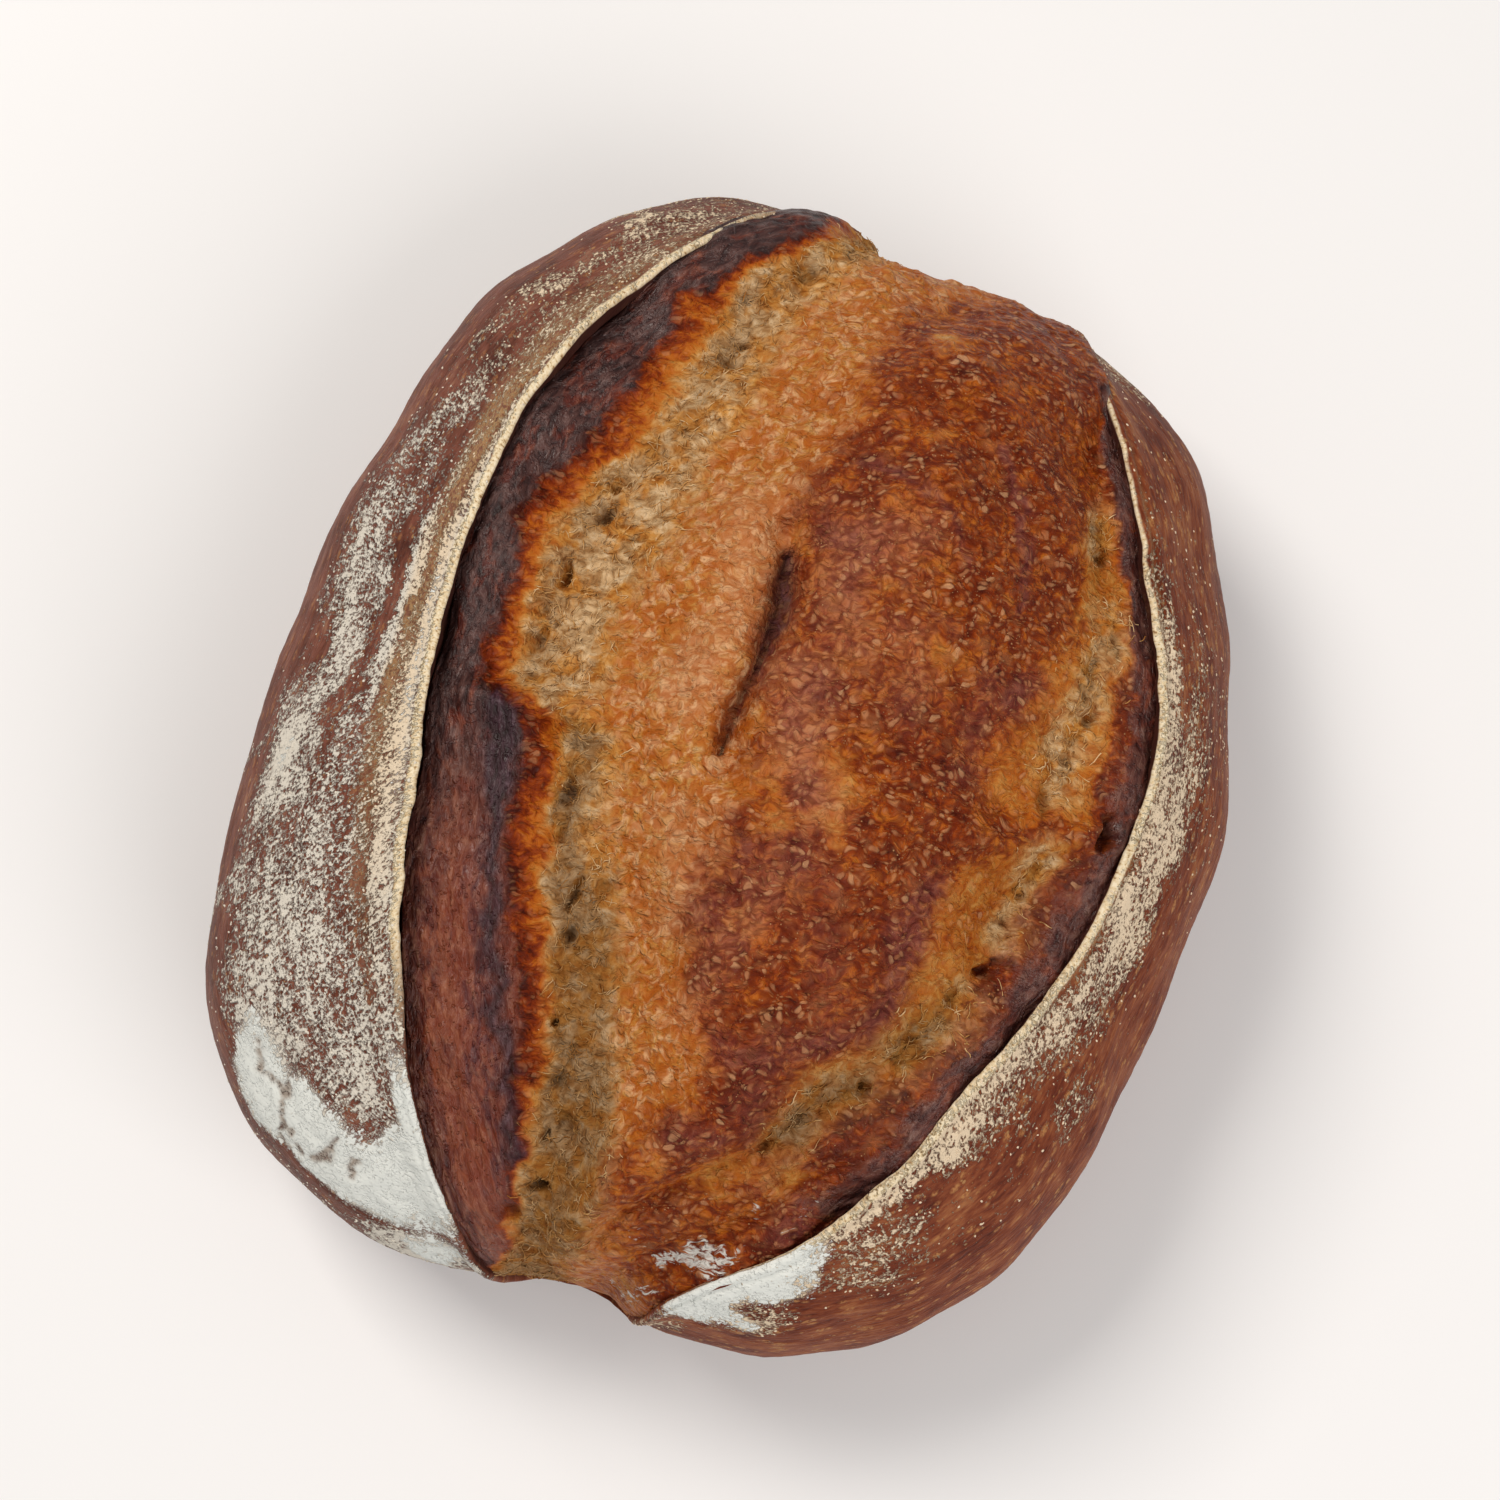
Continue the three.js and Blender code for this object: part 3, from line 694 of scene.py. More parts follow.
def bloomPlaces():
    # the bloom without its relief, and x and y as they show from above, which part the zones
    bearing, slope = bloomChart()
    base = domePoint(bearing, slope)
    x, y, z = base[..., 0], base[..., 1], base[..., 2]
    full = openingRise(x, y) + waves(opening["lumps"], base)
    full = mix(full, bloom["endRise"], ease((slope - 58) / 24) * ease((np.abs(y) - 60) / 20))
    full -= bloom["nearEndDrop"] * ease((18 - (rightLipX(y) - x)) / 10) * ease((-y - 66) / 16)
    overEnd = 1 - ease((slope - 86) / 20)
    rise = mix(-lips["closed"] * lips["rightStep"], full, overEnd) + waves(loafForm["lumps"], base)
    eyeX, eyeY, eyeZ = bloom["eye"]
    x, y = x + rise * (x - eyeX) / (eyeZ - z), y + rise * (y - eyeY) / (eyeZ - z)
    nudge = 2.6 * smoothNoise(base, 8, 41) + 1.3 * smoothNoise(base, 2.8, 42)
    drift = 2.2 * smoothNoise(base, 7, 43) + 1.2 * smoothNoise(base, 2.5, 44)
    return SimpleNamespace(
        bearing=bearing, slope=slope, base=base, rise=rise, x=x, y=y, nudge=nudge, drift=drift,
        raggedX=x + nudge, raggedY=y + drift, warped=base + np.stack([nudge, drift, 0 * nudge], -1) * 0.5)


def past(at, line, soft):
    # 0 on the left of a line and 1 on its right
    return ease((at.raggedX - line(at.y)) / soft + 0.5)


def patchStrength(patches, at):
    # the strongest of the patches at each spot
    total = np.zeros(at.x.shape)
    for path, width, strength in patches:
        total = np.maximum(total, strength * bell(distanceTo(path, at.raggedX, at.raggedY), width))
    return total


def bloomZones(at):
    # the zones across the loaf, each from 0 to 1
    zones = SimpleNamespace(strip=1 - past(at, stripEdge, 5), inCrumb=past(at, crumbStart, 5))
    zones.pastCrumb, pastGold = past(at, crumbEnd, 10), past(at, goldEnd, 9)
    zones.red = ease((at.raggedX + 1.5 * at.nudge - goldEnd(at.y)) / 15 + 0.5)
    beforeStrip = 1 - past(at, rightStripStart, 3)
    zones.rightGold = past(at, rightGoldStart, 7) * beforeStrip * softBox(at.y, -76, 64, 14)
    zones.rightStrip = past(at, rightStripStart, 3.5)
    zones.nearLip = ease((6.5 + 1.2 * at.nudge - (rightLipX(at.y) - at.x)) / 4)
    rightChar = (0.25 + 0.6 * zones.nearLip) * zones.rightStrip * softBox(at.y, -84, 96, 16)
    zones.char = np.maximum(zones.strip, rightChar)
    leftCrumb = zones.inCrumb * (1 - zones.pastCrumb) * (1 - zones.strip)
    rightCrumb = patchStrength([(patch[0], patch[1], 1) for patch in rightCrumbPatches], at)
    zones.crumb = np.maximum(leftCrumb, rightCrumb)
    zones.glazed = zones.red * (1 - 0.85 * zones.crumb)
    zones.blistered = pastGold * (1 - zones.crumb) * (1 - 0.8 * zones.rightGold) * (1 - 0.75 * zones.char)
    zones.gold = zones.pastCrumb * (1 - pastGold) * (1 - zones.crumb)
    return zones


def bloomBake(at, zones):
    # how far each spot baked
    share = np.clip((at.raggedX - stripEdge(at.y)) / (crumbStart(at.y) - stripEdge(at.y)), 0, 1)
    quarters = [0, 0.25, 0.5, 0.75, 1]
    middle, far, near = (
        np.interp(share, quarters, bloom[key]) for key in ("bandBakes", "farBandBakes", "nearBandBakes"))
    bake = mix(mix(middle, far, ease((at.y - 30) / 30)), near, ease((-at.y - 14) / 20))
    rightStrip = zones.rightStrip * softBox(at.y, -98, 100, 20)
    for value, zone in (
            (bakes["crumb"], zones.inCrumb), (bakes["gold"], zones.pastCrumb), (bakes["red"], zones.red),
            (bakes["rightGold"], zones.rightGold), (bakes["rightStrip"], rightStrip)):
        bake = mix(bake, value, zone)
    for path, width, value, strength in rightCrumbPatches + bakePatches:
        bake = mix(bake, value, strength * bell(distanceTo(path, at.raggedX, at.raggedY), width))
    bake = mix(bake, bakes["strip"], zones.strip)
    bake += 0.10 * smoothNoise(at.base, (9, 6, 9), 45) + 0.06 * smoothNoise(at.base, (3.5, 2.4, 3.5), 46)
    return bake


# Relief of the bloom. Each function adds its own, in mm, and gives what the skin's material needs of it.

def bumps(points, spacing, seed, radius, soft, rare, even=1):
    # soft round bumps in the cells that rare leaves; the less even, the more their heights differ
    near, number = nearestSpot(points, spacing, seed)
    return ease((radius - near) / soft) * (number > rare) * (even + (1 - even) * number)


def raiseBlisters(relief, at, zones):
    # blisters on the glazed skin and curls on the golden crown
    small = bumps(at.warped, (2.5, 1.9, 2.5), 51, 0.46, 0.3, 0.35, even=0.5)
    large = bumps(at.warped, (5.6, 4.2, 5.6), 53, 0.42, 0.22, 0.72)
    curls = bumps(at.warped, (4.6, 2.3, 4.0), 55, 0.5, 0.34, 0.4)
    relief += bloom["blister"] * small * zones.blistered + bloom["bigBlister"] * large * zones.blistered
    relief += bloom["curl"] * curls * zones.gold
    wrinkles = (1 + 0.5 * zones.gold) * smoothNoise(at.warped, (3.6, 2.0, 3.0), 57)
    relief += bloom["wrinkle"] * wrinkles * (1 - zones.char)
    relief += bloom["swell"] * smoothNoise(at.base, 9, 58) * (1 - zones.char)
    return np.maximum(small, large) * zones.blistered + 0.8 * curls * zones.gold


def streakCutFaces(relief, at, zones):
    # the cut faces come up to their lips, with grooves and pimples that run down from them
    isLeft = at.x < 0
    fromLip = np.where(isLeft, at.x - leftLipX(at.y), rightLipX(at.y) - at.x)
    flow = np.stack([fromLip, at.y, np.where(isLeft, 0.0, 90.0)], -1)
    grooves = smoothNoise(flow, (2.0, 3.0, 9), 59) + 0.8 * smoothNoise(flow, (4.5, 10, 9), 60)
    relief += bloom["streak"] * zones.char * (grooves + 0.6 * smoothNoise(flow, (1.2, 1.3, 9), 62))
    relief += bloom["closeUp"] * (1 - ease(fromLip / 10)) * (0.35 + 0.65 * ease((at.y + 10) / 40)) * isLeft
    relief += (0.5 + 0.3 * ease((-at.y - 30) / 30)) * bloom["closeUp"] * (1 - ease(fromLip / 8)) * (at.x > 0)
    return flow


def openCrumb(relief, at, zones):
    # pits and torn fibres of the crumb; gives its painted shade, darkest in its pits, down the channel beside
    # the cut face and towards the near end
    openPits = bumps(at.warped, 2.9, 61, 0.5, 0.34, 0.5)
    finePits = bumps(at.warped, 1.7, 63, 0.5, 0.3, 0.45)
    pit = np.clip(openPits * 0.8 + finePits * 0.35, 0, 1) * zones.crumb
    pit = np.clip(pit * (0.55 + 0.6 * smoothNoise(at.base, 7, 64)), 0, 1)
    relief -= bloom["pit"] * pit
    tufts = bloom["crumbRough"] * smoothNoise(at.base, 2.1, 65)
    relief += zones.crumb * (tufts + bloom["crumbLumps"] * smoothNoise(at.base, 5, 67))
    fromStart = at.raggedX - crumbStart(at.y)
    fibres = smoothNoise(at.warped, (7, 1.3, 5), 66) * (bell(fromStart, 7) + 0.6 * zones.rightGold)
    relief += bloom["fibre"] * fibres
    # painted shade down the channel beside the cut face, stronger towards the near end, and over the crumb's
    # near end
    valleyShade = bell(fromStart - 3, 4) * (0.35 + 0.5 * ease((-at.y - 4) / 20))
    return np.maximum(pit, zones.crumb * np.maximum(valleyShade, 0.85 * ease((-at.y - 26) / 22)))


def openPores(relief, at):
    # the open pores, sunk into the relief; gives their painted shade, darker the deeper they are
    hole = np.zeros(at.x.shape)
    tornX, tornY = at.raggedX - 0.5 * at.nudge, at.raggedY - 0.5 * at.drift
    for x, y, halfWidth, halfLength, depth in pores:
        mouth = ease((1.5 - np.hypot((tornX - x) / halfWidth, (tornY - y) / halfLength)) / 1.2)
        relief -= 1.2 * depth * mouth
        hole = np.maximum(hole, mouth**3 * min(depth / 3.6, 1) * 0.85)
    return hole


def cutCrease(relief, at):
    # the crease's own narrow bottom, which narrows to both ends; gives the distance from it over its width
    width = mix(bloom["cleftBottom"], bloom["cleftTop"], ease((at.y - 12) / 14))
    width *= 0.4 + 0.6 * ease((36 - at.y) / 7) * ease((at.y + 10) / 8)
    ragged = 0.35 * at.nudge + 0.4 * smoothNoise(at.base, 1.4, 47) + 0.8 * smoothNoise(at.base, 3, 48)
    away = distanceTo(creaseBottom, at.x + ragged, at.y) / width
    relief -= bloom["cleft"] * ease((1.35 - away) / 0.9)
    return away


def closeBloom(points, normals, forms, fields):
    # the border goes round the grid; it turns down under the lips and closes on a point inside the loaf
    rows, columns = points.shape[:2]
    index = np.arange(rows * columns).reshape(rows, columns)
    border = np.concatenate([index[0, :-1], index[:-1, -1], index[-1, :0:-1], index[:0:-1, 0]])
    flatPoints, flatNormals, flatForms = points.reshape(-1, 3), normals.reshape(-1, 3), forms.ravel()
    depth = bloom["skirt"] * flatNormals[border] * flatForms[border][:, None]
    under = flatPoints[border] - depth - (0, 0, 0.4)
    vertices = np.concatenate([flatPoints, under, [bloom["heart"]]])
    quads = np.stack([index[:-1, :-1], index[:-1, 1:], index[1:, 1:], index[1:, :-1]], -1).reshape(-1, 4)
    below = rows * columns + np.arange(len(border))
    heart = np.full(len(border), rows * columns + len(border))
    walls = np.stack([np.roll(border, -1), border, below, np.roll(below, -1)], -1)
    fan = np.stack([np.roll(below, -1), below, heart], -1)
    spread = {}
    for key, values in fields.items():
        flat = values.reshape(rows * columns, *values.shape[2:])
        spread[key] = np.concatenate([flat, flat[border], flat[:1]])
    return vertices, quads.tolist() + walls.tolist() + fan.tolist(), spread


def bloomGeometry():
    at = bloomPlaces()
    zones = bloomZones(at)
    relief = np.zeros(at.x.shape)
    blister = raiseBlisters(relief, at, zones)
    flow = streakCutFaces(relief, at, zones)
    pit = openCrumb(relief, at, zones)
    hole = openPores(relief, at)
    fromCrease = cutCrease(relief, at)
    normals = domeNormal(at.bearing, at.slope)
    rise = at.rise + relief * ease((at.slope - 112) / -16)
    points = at.base + normals * rise[..., None]

    # the crease is almost black at its upper end only: partly its own dark plum skin and partly painted shade
    # down in it
    dark = mix(0.35, 1, ease((at.y - 8) / 12))
    bake = mix(bloomBake(at, zones), 0.9, 0.55 * bell(fromCrease, 1.3))
    plum = np.maximum(patchStrength(plumPatches, at), 0.75 * dark * bell(fromCrease, 1.5))
    edge = bell(distanceTo(blackEdge, at.raggedX, at.raggedY), 2.2)
    edge = edge + 0.7 * bell(distanceTo(blackCorner, at.raggedX, at.raggedY), 3.4)
    edge = np.maximum(edge, 0.7 * dark * ease((0.95 - fromCrease) / 0.4))
    return closeBloom(points, normals, lipForm(at.bearing), {
        "bake": np.clip(bake, 0, 1), "plum": plum, "char": zones.char, "edge": np.clip(edge, 0, 1),
        "paleStrip": np.where(at.x < 0, ease((-at.y - 8) / 46), 0.9 - 0.5 * zones.nearLip),
        "crumb": zones.crumb, "glazed": zones.glazed, "gold": zones.gold,
        # pit and hole carry painted shade of the crumb and its pores
        "blister": np.clip(blister, 0, 1), "pit": pit, "hole": hole, "flow": flow,
        "dust": patchStrength(dustPatches, at), "pink": patchStrength(pinkPatches, at),
    })


# Materials

def newMaterial(name):
    material = bpy.data.materials.new(name)
    material.use_nodes = True
    material.node_tree.nodes.clear()
    return material, material.node_tree


def addPattern(tree, kind, place, sizes, shift=0.0, **settings):
    # a texture whose features have the given sizes in mm along x, y and z, where place is in mm
    scale = [1 / size for size in sizes]
    mapped = addNode(tree, "Mapping", {"Vector": place, "Location": [shift] * 3, "Scale": scale})
    return addNode(tree, kind, {"Vector": mapped, "Scale": 1.0} | settings)


def addSpots(tree, cells, rare, smallest, largest, soft):
    # soft spots from the smallest to the largest size in the share of the cells that rare leaves
    size = addNode(tree, "MapRange", [cells.node.outputs["Color"], rare, 1.0, smallest, largest])
    inside = addNode(tree, "Math", [size, cells], operation="SUBTRACT")
    return addNode(tree, "MapRange", [inside, -soft, soft, 0.0, 1.0], interpolation_type="SMOOTHSTEP")


def addFields(tree, numbers, places):
    # the skin's own attributes by name: its numbers, and the places in mm that patterns run over
    fields = {name: addNode(tree, "Attribute", take="Fac", attribute_name=name) for name in numbers.split()}
    fields[places] = addNode(tree, "Attribute", take="Vector", attribute_name=places)
    return SimpleNamespace(**fields)


def addCrustPatterns(tree, look, field):
    # along the loaf's girth a pattern is drawn out to its length, and up the flank it has its size
    def addGrain(kind, size, length, shift, **settings):
        return addPattern(tree, kind, field.grain, (length, length, size), shift, **settings)

    roundClots, drawnClots = (
        addGrain("TexNoise", size, length, shift, Detail=2.0, Roughness=0.6, Distortion=distortion)
        for size, length, shift, distortion in (
            (look["clot"], look["clot"] * 1.25, 0, 0.6), (look["clotLength"], look["clot"], 9, 0.4)))
    fleckCells = addGrain("TexVoronoi", look["fleck"], look["fleckLength"], 1)
    speckCells = addGrain("TexVoronoi", look["speck"], look["speck"] * 1.5, 4)
    return SimpleNamespace(
        clots=addNode(tree, "Mix", [field.strokes, roundClots, drawnClots], data_type="FLOAT"),
        grains=addGrain("TexNoise", look["grain"], look["grain"] * 1.3, 7, Detail=1.5, Roughness=0.6),
        drifts=addGrain("TexNoise", look["drift"], look["driftLength"], 2, Detail=3.0, Roughness=0.6),
        clouds=addGrain("TexNoise", look["cloud"], look["cloud"] * 2.4, 3, Detail=3.0, Roughness=0.6),
        streaks=addGrain("TexNoise", look["streak"], look["streakLength"], 5, Detail=2.5, Roughness=0.6),
        flecks=addSpots(tree, fleckCells, 0.15, -0.05, 0.52, 0.12),
        specks=addSpots(tree, speckCells, 0.55, -0.1, 0.42, 0.09))


def addFlourCover(add, field, pattern):
    # Flour shows where clots, grains and drifts together rise over what the patch leaves bare. Gives their
    # heap, where flour covers the crust, and where it is pressed to a solid skin.
    heap = add("Math", [pattern.clots, 0.6], operation="MULTIPLY")
    heap = add("Math", [pattern.grains, 0.4, heap], operation="MULTIPLY_ADD")
    heap = add("Math", [add("MapRange", [pattern.drifts, 0.35, 0.65, -0.045, 0.045]), heap], operation="ADD")
    bareLevel = add("MapRange", [field.flour, 0.0, 1.0, 0.69, 0.31])
    cover = add("Math", [heap, bareLevel], operation="SUBTRACT")
    cover = add("MapRange", [cover, -0.06, 0.09, 0.0, 1.0], interpolation_type="SMOOTHSTEP")
    chalkBreak = add("Math", [heap, 1.9, -0.8], operation="MULTIPLY_ADD")
    solid = add("Math", [field.chalk, chalkBreak], operation="SUBTRACT")
    solid = add("MapRange", [solid, 0.32, 0.56, 0.0, 1.0], interpolation_type="SMOOTHSTEP")
    solid = add("Math", [solid, add("MapRange", [field.crack, 0.2, 0.8, 1.0, 0.1])], operation="MULTIPLY")
    return heap, cover, solid


def crustMaterial():
    # Baked wheat crust, dusted with flour from the proving basket: a matt red-brown skin with lengthwise
    # grain and golden flecks, where the flour lies in half-millimetre grains that gather into clots.
    material, tree = newMaterial("flouredWheatCrust")
    add = functools.partial(addNode, tree)
    look = {
        "clot": 1.15, "clotLength": 2.1, "grain": 0.6, "drift": 4.5, "driftLength": 16,  # flour, sizes in mm
        "streak": 0.8, "streakLength": 3.4, "cloud": 6, "fleck": 2.0, "fleckLength": 4.0, "speck": 1.2,
        "crustRoughness": 0.5, "flourRoughness": 0.95, "gloss": 0.1, "bumpHeight": 0.0005,
    }
    field = addFields(tree, "flour chalk tan rim crack left strokes warm inner", "grain")
    pattern = addCrustPatterns(tree, look, field)
    heap, cover, solid = addFlourCover(add, field, pattern)

    # bare crust, duller on the side that the oven's steam reached
    tone = add("Math", [pattern.clouds, 0.55], operation="MULTIPLY")
    tone = add("Math", [pattern.streaks, 0.45, tone], operation="MULTIPLY_ADD")
    bright, dull = (
        add("ValToRGB", [tone], stops=list(zip((0.34, 0.45, 0.55, 0.68), shades))) for shades in (
            ("#4C1D10", "#6A2F1A", "#814428", "#9C643E"), ("#48231A", "#623628", "#754436", "#906650")))
    skin = add("Mix", [field.left, bright, dull], data_type="RGBA")
    fleckHow = pattern.flecks
    for dimmer in (
            add("MapRange", [field.left, 0.0, 1.0, 1.0, 0.55]),
            add("MapRange", [pattern.grains, 0.38, 0.58, 0.1, 1.0])):
        fleckHow = add("Math", [fleckHow, dimmer], operation="MULTIPLY")
    tanHow = add("Math", [add("MapRange", [heap, 0.4, 0.56, 0.1, 1.0]), field.tan], operation="MULTIPLY")

    # over it flour, creamier where it baked on beside the lip and on the right flank, and the cut edge
    baked = add("Math", [field.tan, 0.8], operation="MULTIPLY")
    warmth = add("Math", [baked, field.warm], operation="MAXIMUM")
    powder = add("Mix", [warmth, "#DAD7CD", "#E4CFB0"], data_type="RGBA")
    rimTint = add("ValToRGB", [pattern.grains], stops=[(0.28, "#967652"), (0.4, "#D4BF98"), (0.6, "#E8DBBF")])
    speckHow, coverHow, innerHow, crackHow = (
        add("Math", [where, share], operation="MULTIPLY")
        for where, share in ((pattern.specks, 0.6), (cover, 0.93), (field.inner, 0.85), (field.crack, 0.75)))
    for how, tint in (
            (fleckHow, "#A87446"), (speckHow, "#B88D5C"), (tanHow, "#AC885C"), (coverHow, powder),
            (field.rim, rimTint), (innerHow, "#3A211E"), (solid, "#DFE3DF"), (crackHow, "#7A675C")):
        skin = add("Mix", [how, skin, tint], data_type="RGBA")

    powdered = add("Math", [cover, solid], operation="MAXIMUM")
    rough = add("MapRange", [powdered, 0.0, 1.0, look["crustRoughness"], look["flourRoughness"]])
    height = add("Math", [heap, add("Math", [cover, 0.35], operation="ADD"), cover], operation="MULTIPLY_ADD")
    for part, share in ((pattern.streaks, 0.8), (pattern.flecks, 0.3), (pattern.specks, 0.3)):
        height = add("Math", [part, share, height], operation="MULTIPLY_ADD")
    height = add("Mix", [add("Math", [solid, 0.65], operation="MULTIPLY"), height, 1.4], data_type="FLOAT")
    height = add("Math", [field.crack, -0.8, height], operation="MULTIPLY_ADD")
    bump = add("Bump", {"Height": height, "Strength": 0.9, "Distance": look["bumpHeight"]})
    shader = add("BsdfPrincipled", {
        "Base Color": skin, "Roughness": rough, "Normal": bump, "Specular IOR Level": look["gloss"]})
    add("OutputMaterial", {"Surface": shader})
    return material


def addDoughPatterns(tree, look, field):
    # patterns of the torn skin, bent so that nothing lies straight; the cut faces' own run down from the lips
    add = functools.partial(addNode, tree)
    place = add("VectorMath", {"Vector": add("TexCoord", take="Object"), "Scale": 1000.0}, operation="SCALE")
    bend = add("TexNoise", {"Vector": place, "Scale": 1 / look["bend"], "Detail": 1.2}, take="Color")
    bend = add("VectorMath", [bend, (0.5, 0.5, 0.5)], operation="SUBTRACT")
    bent = add("VectorMath", [bend, [look["bend"]] * 3, place], operation="MULTIPLY_ADD")
    bent = add("Mapping", {"Vector": bent, "Rotation": (0, 0, look["tilt"])})

    def addNoise(places, sizes, detail, roughness, distortion, shift=0.0):
        settings = {"Detail": detail, "Roughness": roughness, "Distortion": distortion}
        return addPattern(tree, "TexNoise", places, sizes, shift, **settings)

    def across(length, size):
        return (length, size, length)

    def downFace(size, length):
        return (size, length, length)

    small, mottle = look["smallBlister"], look["mottle"]
    stripGrain = downFace(look["stripGrain"], look["stripLength"])
    stripCloud = downFace(look["stripCloud"], look["stripCloudLength"])
    cells = addPattern(tree, "TexVoronoi", bent, across(look["blisterLength"], look["blister"]))
    smallCells = addPattern(tree, "TexVoronoi", bent, across(small * 1.5, small))
    glintCells = addPattern(tree, "TexVoronoi", place, [look["seed"]] * 3)
    pimpleCells = addPattern(tree, "TexVoronoi", bent, [look["pimple"]] * 3)
    return SimpleNamespace(
        cells=cells,
        spots=addSpots(tree, cells, 0.06, 0.0, 0.62, 0.17),
        smallSpots=addSpots(tree, smallCells, 0.25, -0.05, 0.52, 0.15),
        glintSpecks=addSpots(tree, glintCells, 0.55, -0.1, 0.44, 0.1),
        pimples=addSpots(tree, pimpleCells, 0.3, -0.1, 0.5, 0.12),
        mottle=addNoise(bent, across(mottle * 1.4, mottle), 4.5, 0.62, 0.25),
        fibres=addNoise(bent, across(look["fibreLength"], look["fibre"]), 3.0, 0.6, 0.7),
        clouds=addNoise(place, [look["cloud"]] * 3, 3.0, 0.6, 0.0),
        creams=addNoise(bent, [look["cream"]] * 3, 3.0, 0.6, 0.5, 11),
        embers=addNoise(bent, [look["cream"]] * 3, 4.0, 0.6, 0.7, 31),
        stripGrain=addNoise(field.flow, stripGrain, 4.5, 0.62, 0.5),
        stripHue=addNoise(field.flow, stripCloud, 3.5, 0.6, 0.6, 17))


def addBakedGround(add, field, pattern):
    # how far each spot of the torn skin baked
    baked = field.bake
    for noise, low, high, swing in (
            (pattern.mottle, 0.3, 0.7, 0.19), (pattern.fibres, 0.35, 0.68, 0.07),
            (pattern.clouds, 0.3, 0.7, 0.12)):
        baked = add("Math", [baked, add("MapRange", [noise, low, high, -swing, swing])], operation="ADD")
    return add("ValToRGB", [baked], stops=[
        (0.0, "#CFAA7C"), (0.14, "#BE8A4C"), (0.26, "#B97B36"), (0.38, "#B06622"), (0.5, "#A95814"),
        (0.63, "#8A3909"), (0.78, "#6A2203"), (0.95, "#3C0D02")])


def addCrownAndBlisters(add, field, pattern, skin):
    # The crown has creamy lumps with embers between them, and pinker places. Dark seams part the blisters,
    # which are paler than the skin round them, and crisp only where it is dark.
    creamHow = add("MapRange", [pattern.creams, 0.46, 0.62, 0.0, 0.85], interpolation_type="SMOOTHSTEP")
    emberHow = add("MapRange", [pattern.embers, 0.47, 0.62, 0.0, 0.72], interpolation_type="SMOOTHSTEP")
    pinkHow = add("MapRange", [pattern.mottle, 0.32, 0.66, 0.95, 0.3])
    pinkTint = add("Mix", [field.gold, "#B88470", "#CE9A70"], data_type="RGBA")
    inRed = add("MapRange", [field.bake, 0.3, 0.6, 0.0, 1.0], interpolation_type="SMOOTHSTEP")
    inRed = add("Math", [inRed, field.glazed], operation="MULTIPLY")
    seams = add("MapRange", [pattern.cells, 0.42, 0.72, 0.0, 0.6], interpolation_type="SMOOTHSTEP")
    for how, where, tint in (
            (creamHow, field.gold, "#D7A87A"), (emberHow, field.gold, "#A4500F"),
            (pinkHow, field.pink, pinkTint), (seams, inRed, "#5A1E08"),
            (seams, field.gold, "#A4561C"), (field.blister, 0.26, "#BE7E4E")):
        skin = add("Mix", [add("Math", [how, where], operation="MULTIPLY"), skin, tint], data_type="RGBA")
    patchy = add("MapRange", [pattern.clouds, 0.38, 0.58, 0.25, 1.05], interpolation_type="SMOOTHSTEP")
    blisterTint = add("ValToRGB", [pattern.cells.node.outputs["Color"]], stops=[
        (0.1, "#8A4420"), (0.4, "#A2623A"), (0.72, "#B67E56"), (0.97, "#D6A87C")])
    # blisters and small spots paler than the skin, and tiny specks whose pale tint is painted highlight
    # glints, strongest on the glazed skin
    for spots, tint, faint, strong in (
            (pattern.spots, blisterTint, 0.24, 0.56), (pattern.smallSpots, "#B27648", 0.12, 0.42),
            (pattern.glintSpecks, "#DCAC7A", 0.06, 0.5)):
        how = add("MapRange", [inRed, 0.0, 1.0, faint, strong])
        how = add("Math", [add("Math", [spots, how], operation="MULTIPLY"), patchy], operation="MULTIPLY")
        skin = add("Mix", [how, skin, tint], data_type="RGBA")
    return skin


def addPlumAndCrumb(add, field, pattern, skin):
    # plum where the glaze is thick; crumb matt, tan in the hollows and amber on the tufts between, with
    # painted shade in its pits, its valley and its near end
    plumHow = add("MapRange", [pattern.spots, 0.0, 1.0, 0.85, 0.4])
    plumTint = add("ValToRGB", [pattern.mottle], stops=[
        (0.34, "#8E5A4C"), (0.5, "#6C3630"), (0.66, "#481716")])
    amber, hollow = (
        add("ValToRGB", [pattern.mottle], stops=list(zip((0.3, 0.44, 0.58, 0.72), shades))) for shades in (
            ("#DBAC6C", "#C28740", "#A46424", "#703A10"), ("#E0C6A2", "#C3A278", "#9A7650", "#6A4A2C")))
    tuft = add("MapRange", [pattern.clouds, 0.44, 0.58, 0.0, 1.0], interpolation_type="SMOOTHSTEP")
    tuft = add("Mix", [tuft, hollow, amber], data_type="RGBA")
    # the pit field brings painted shade, olive-brown, to the crumb
    for how, where, tint in (
            (plumHow, field.plum, plumTint), (field.crumb, 0.8, tuft), (field.pit, 0.68, "#5E3B1A")):
        skin = add("Mix", [add("Math", [how, where], operation="MULTIPLY"), skin, tint], data_type="RGBA")
    return skin


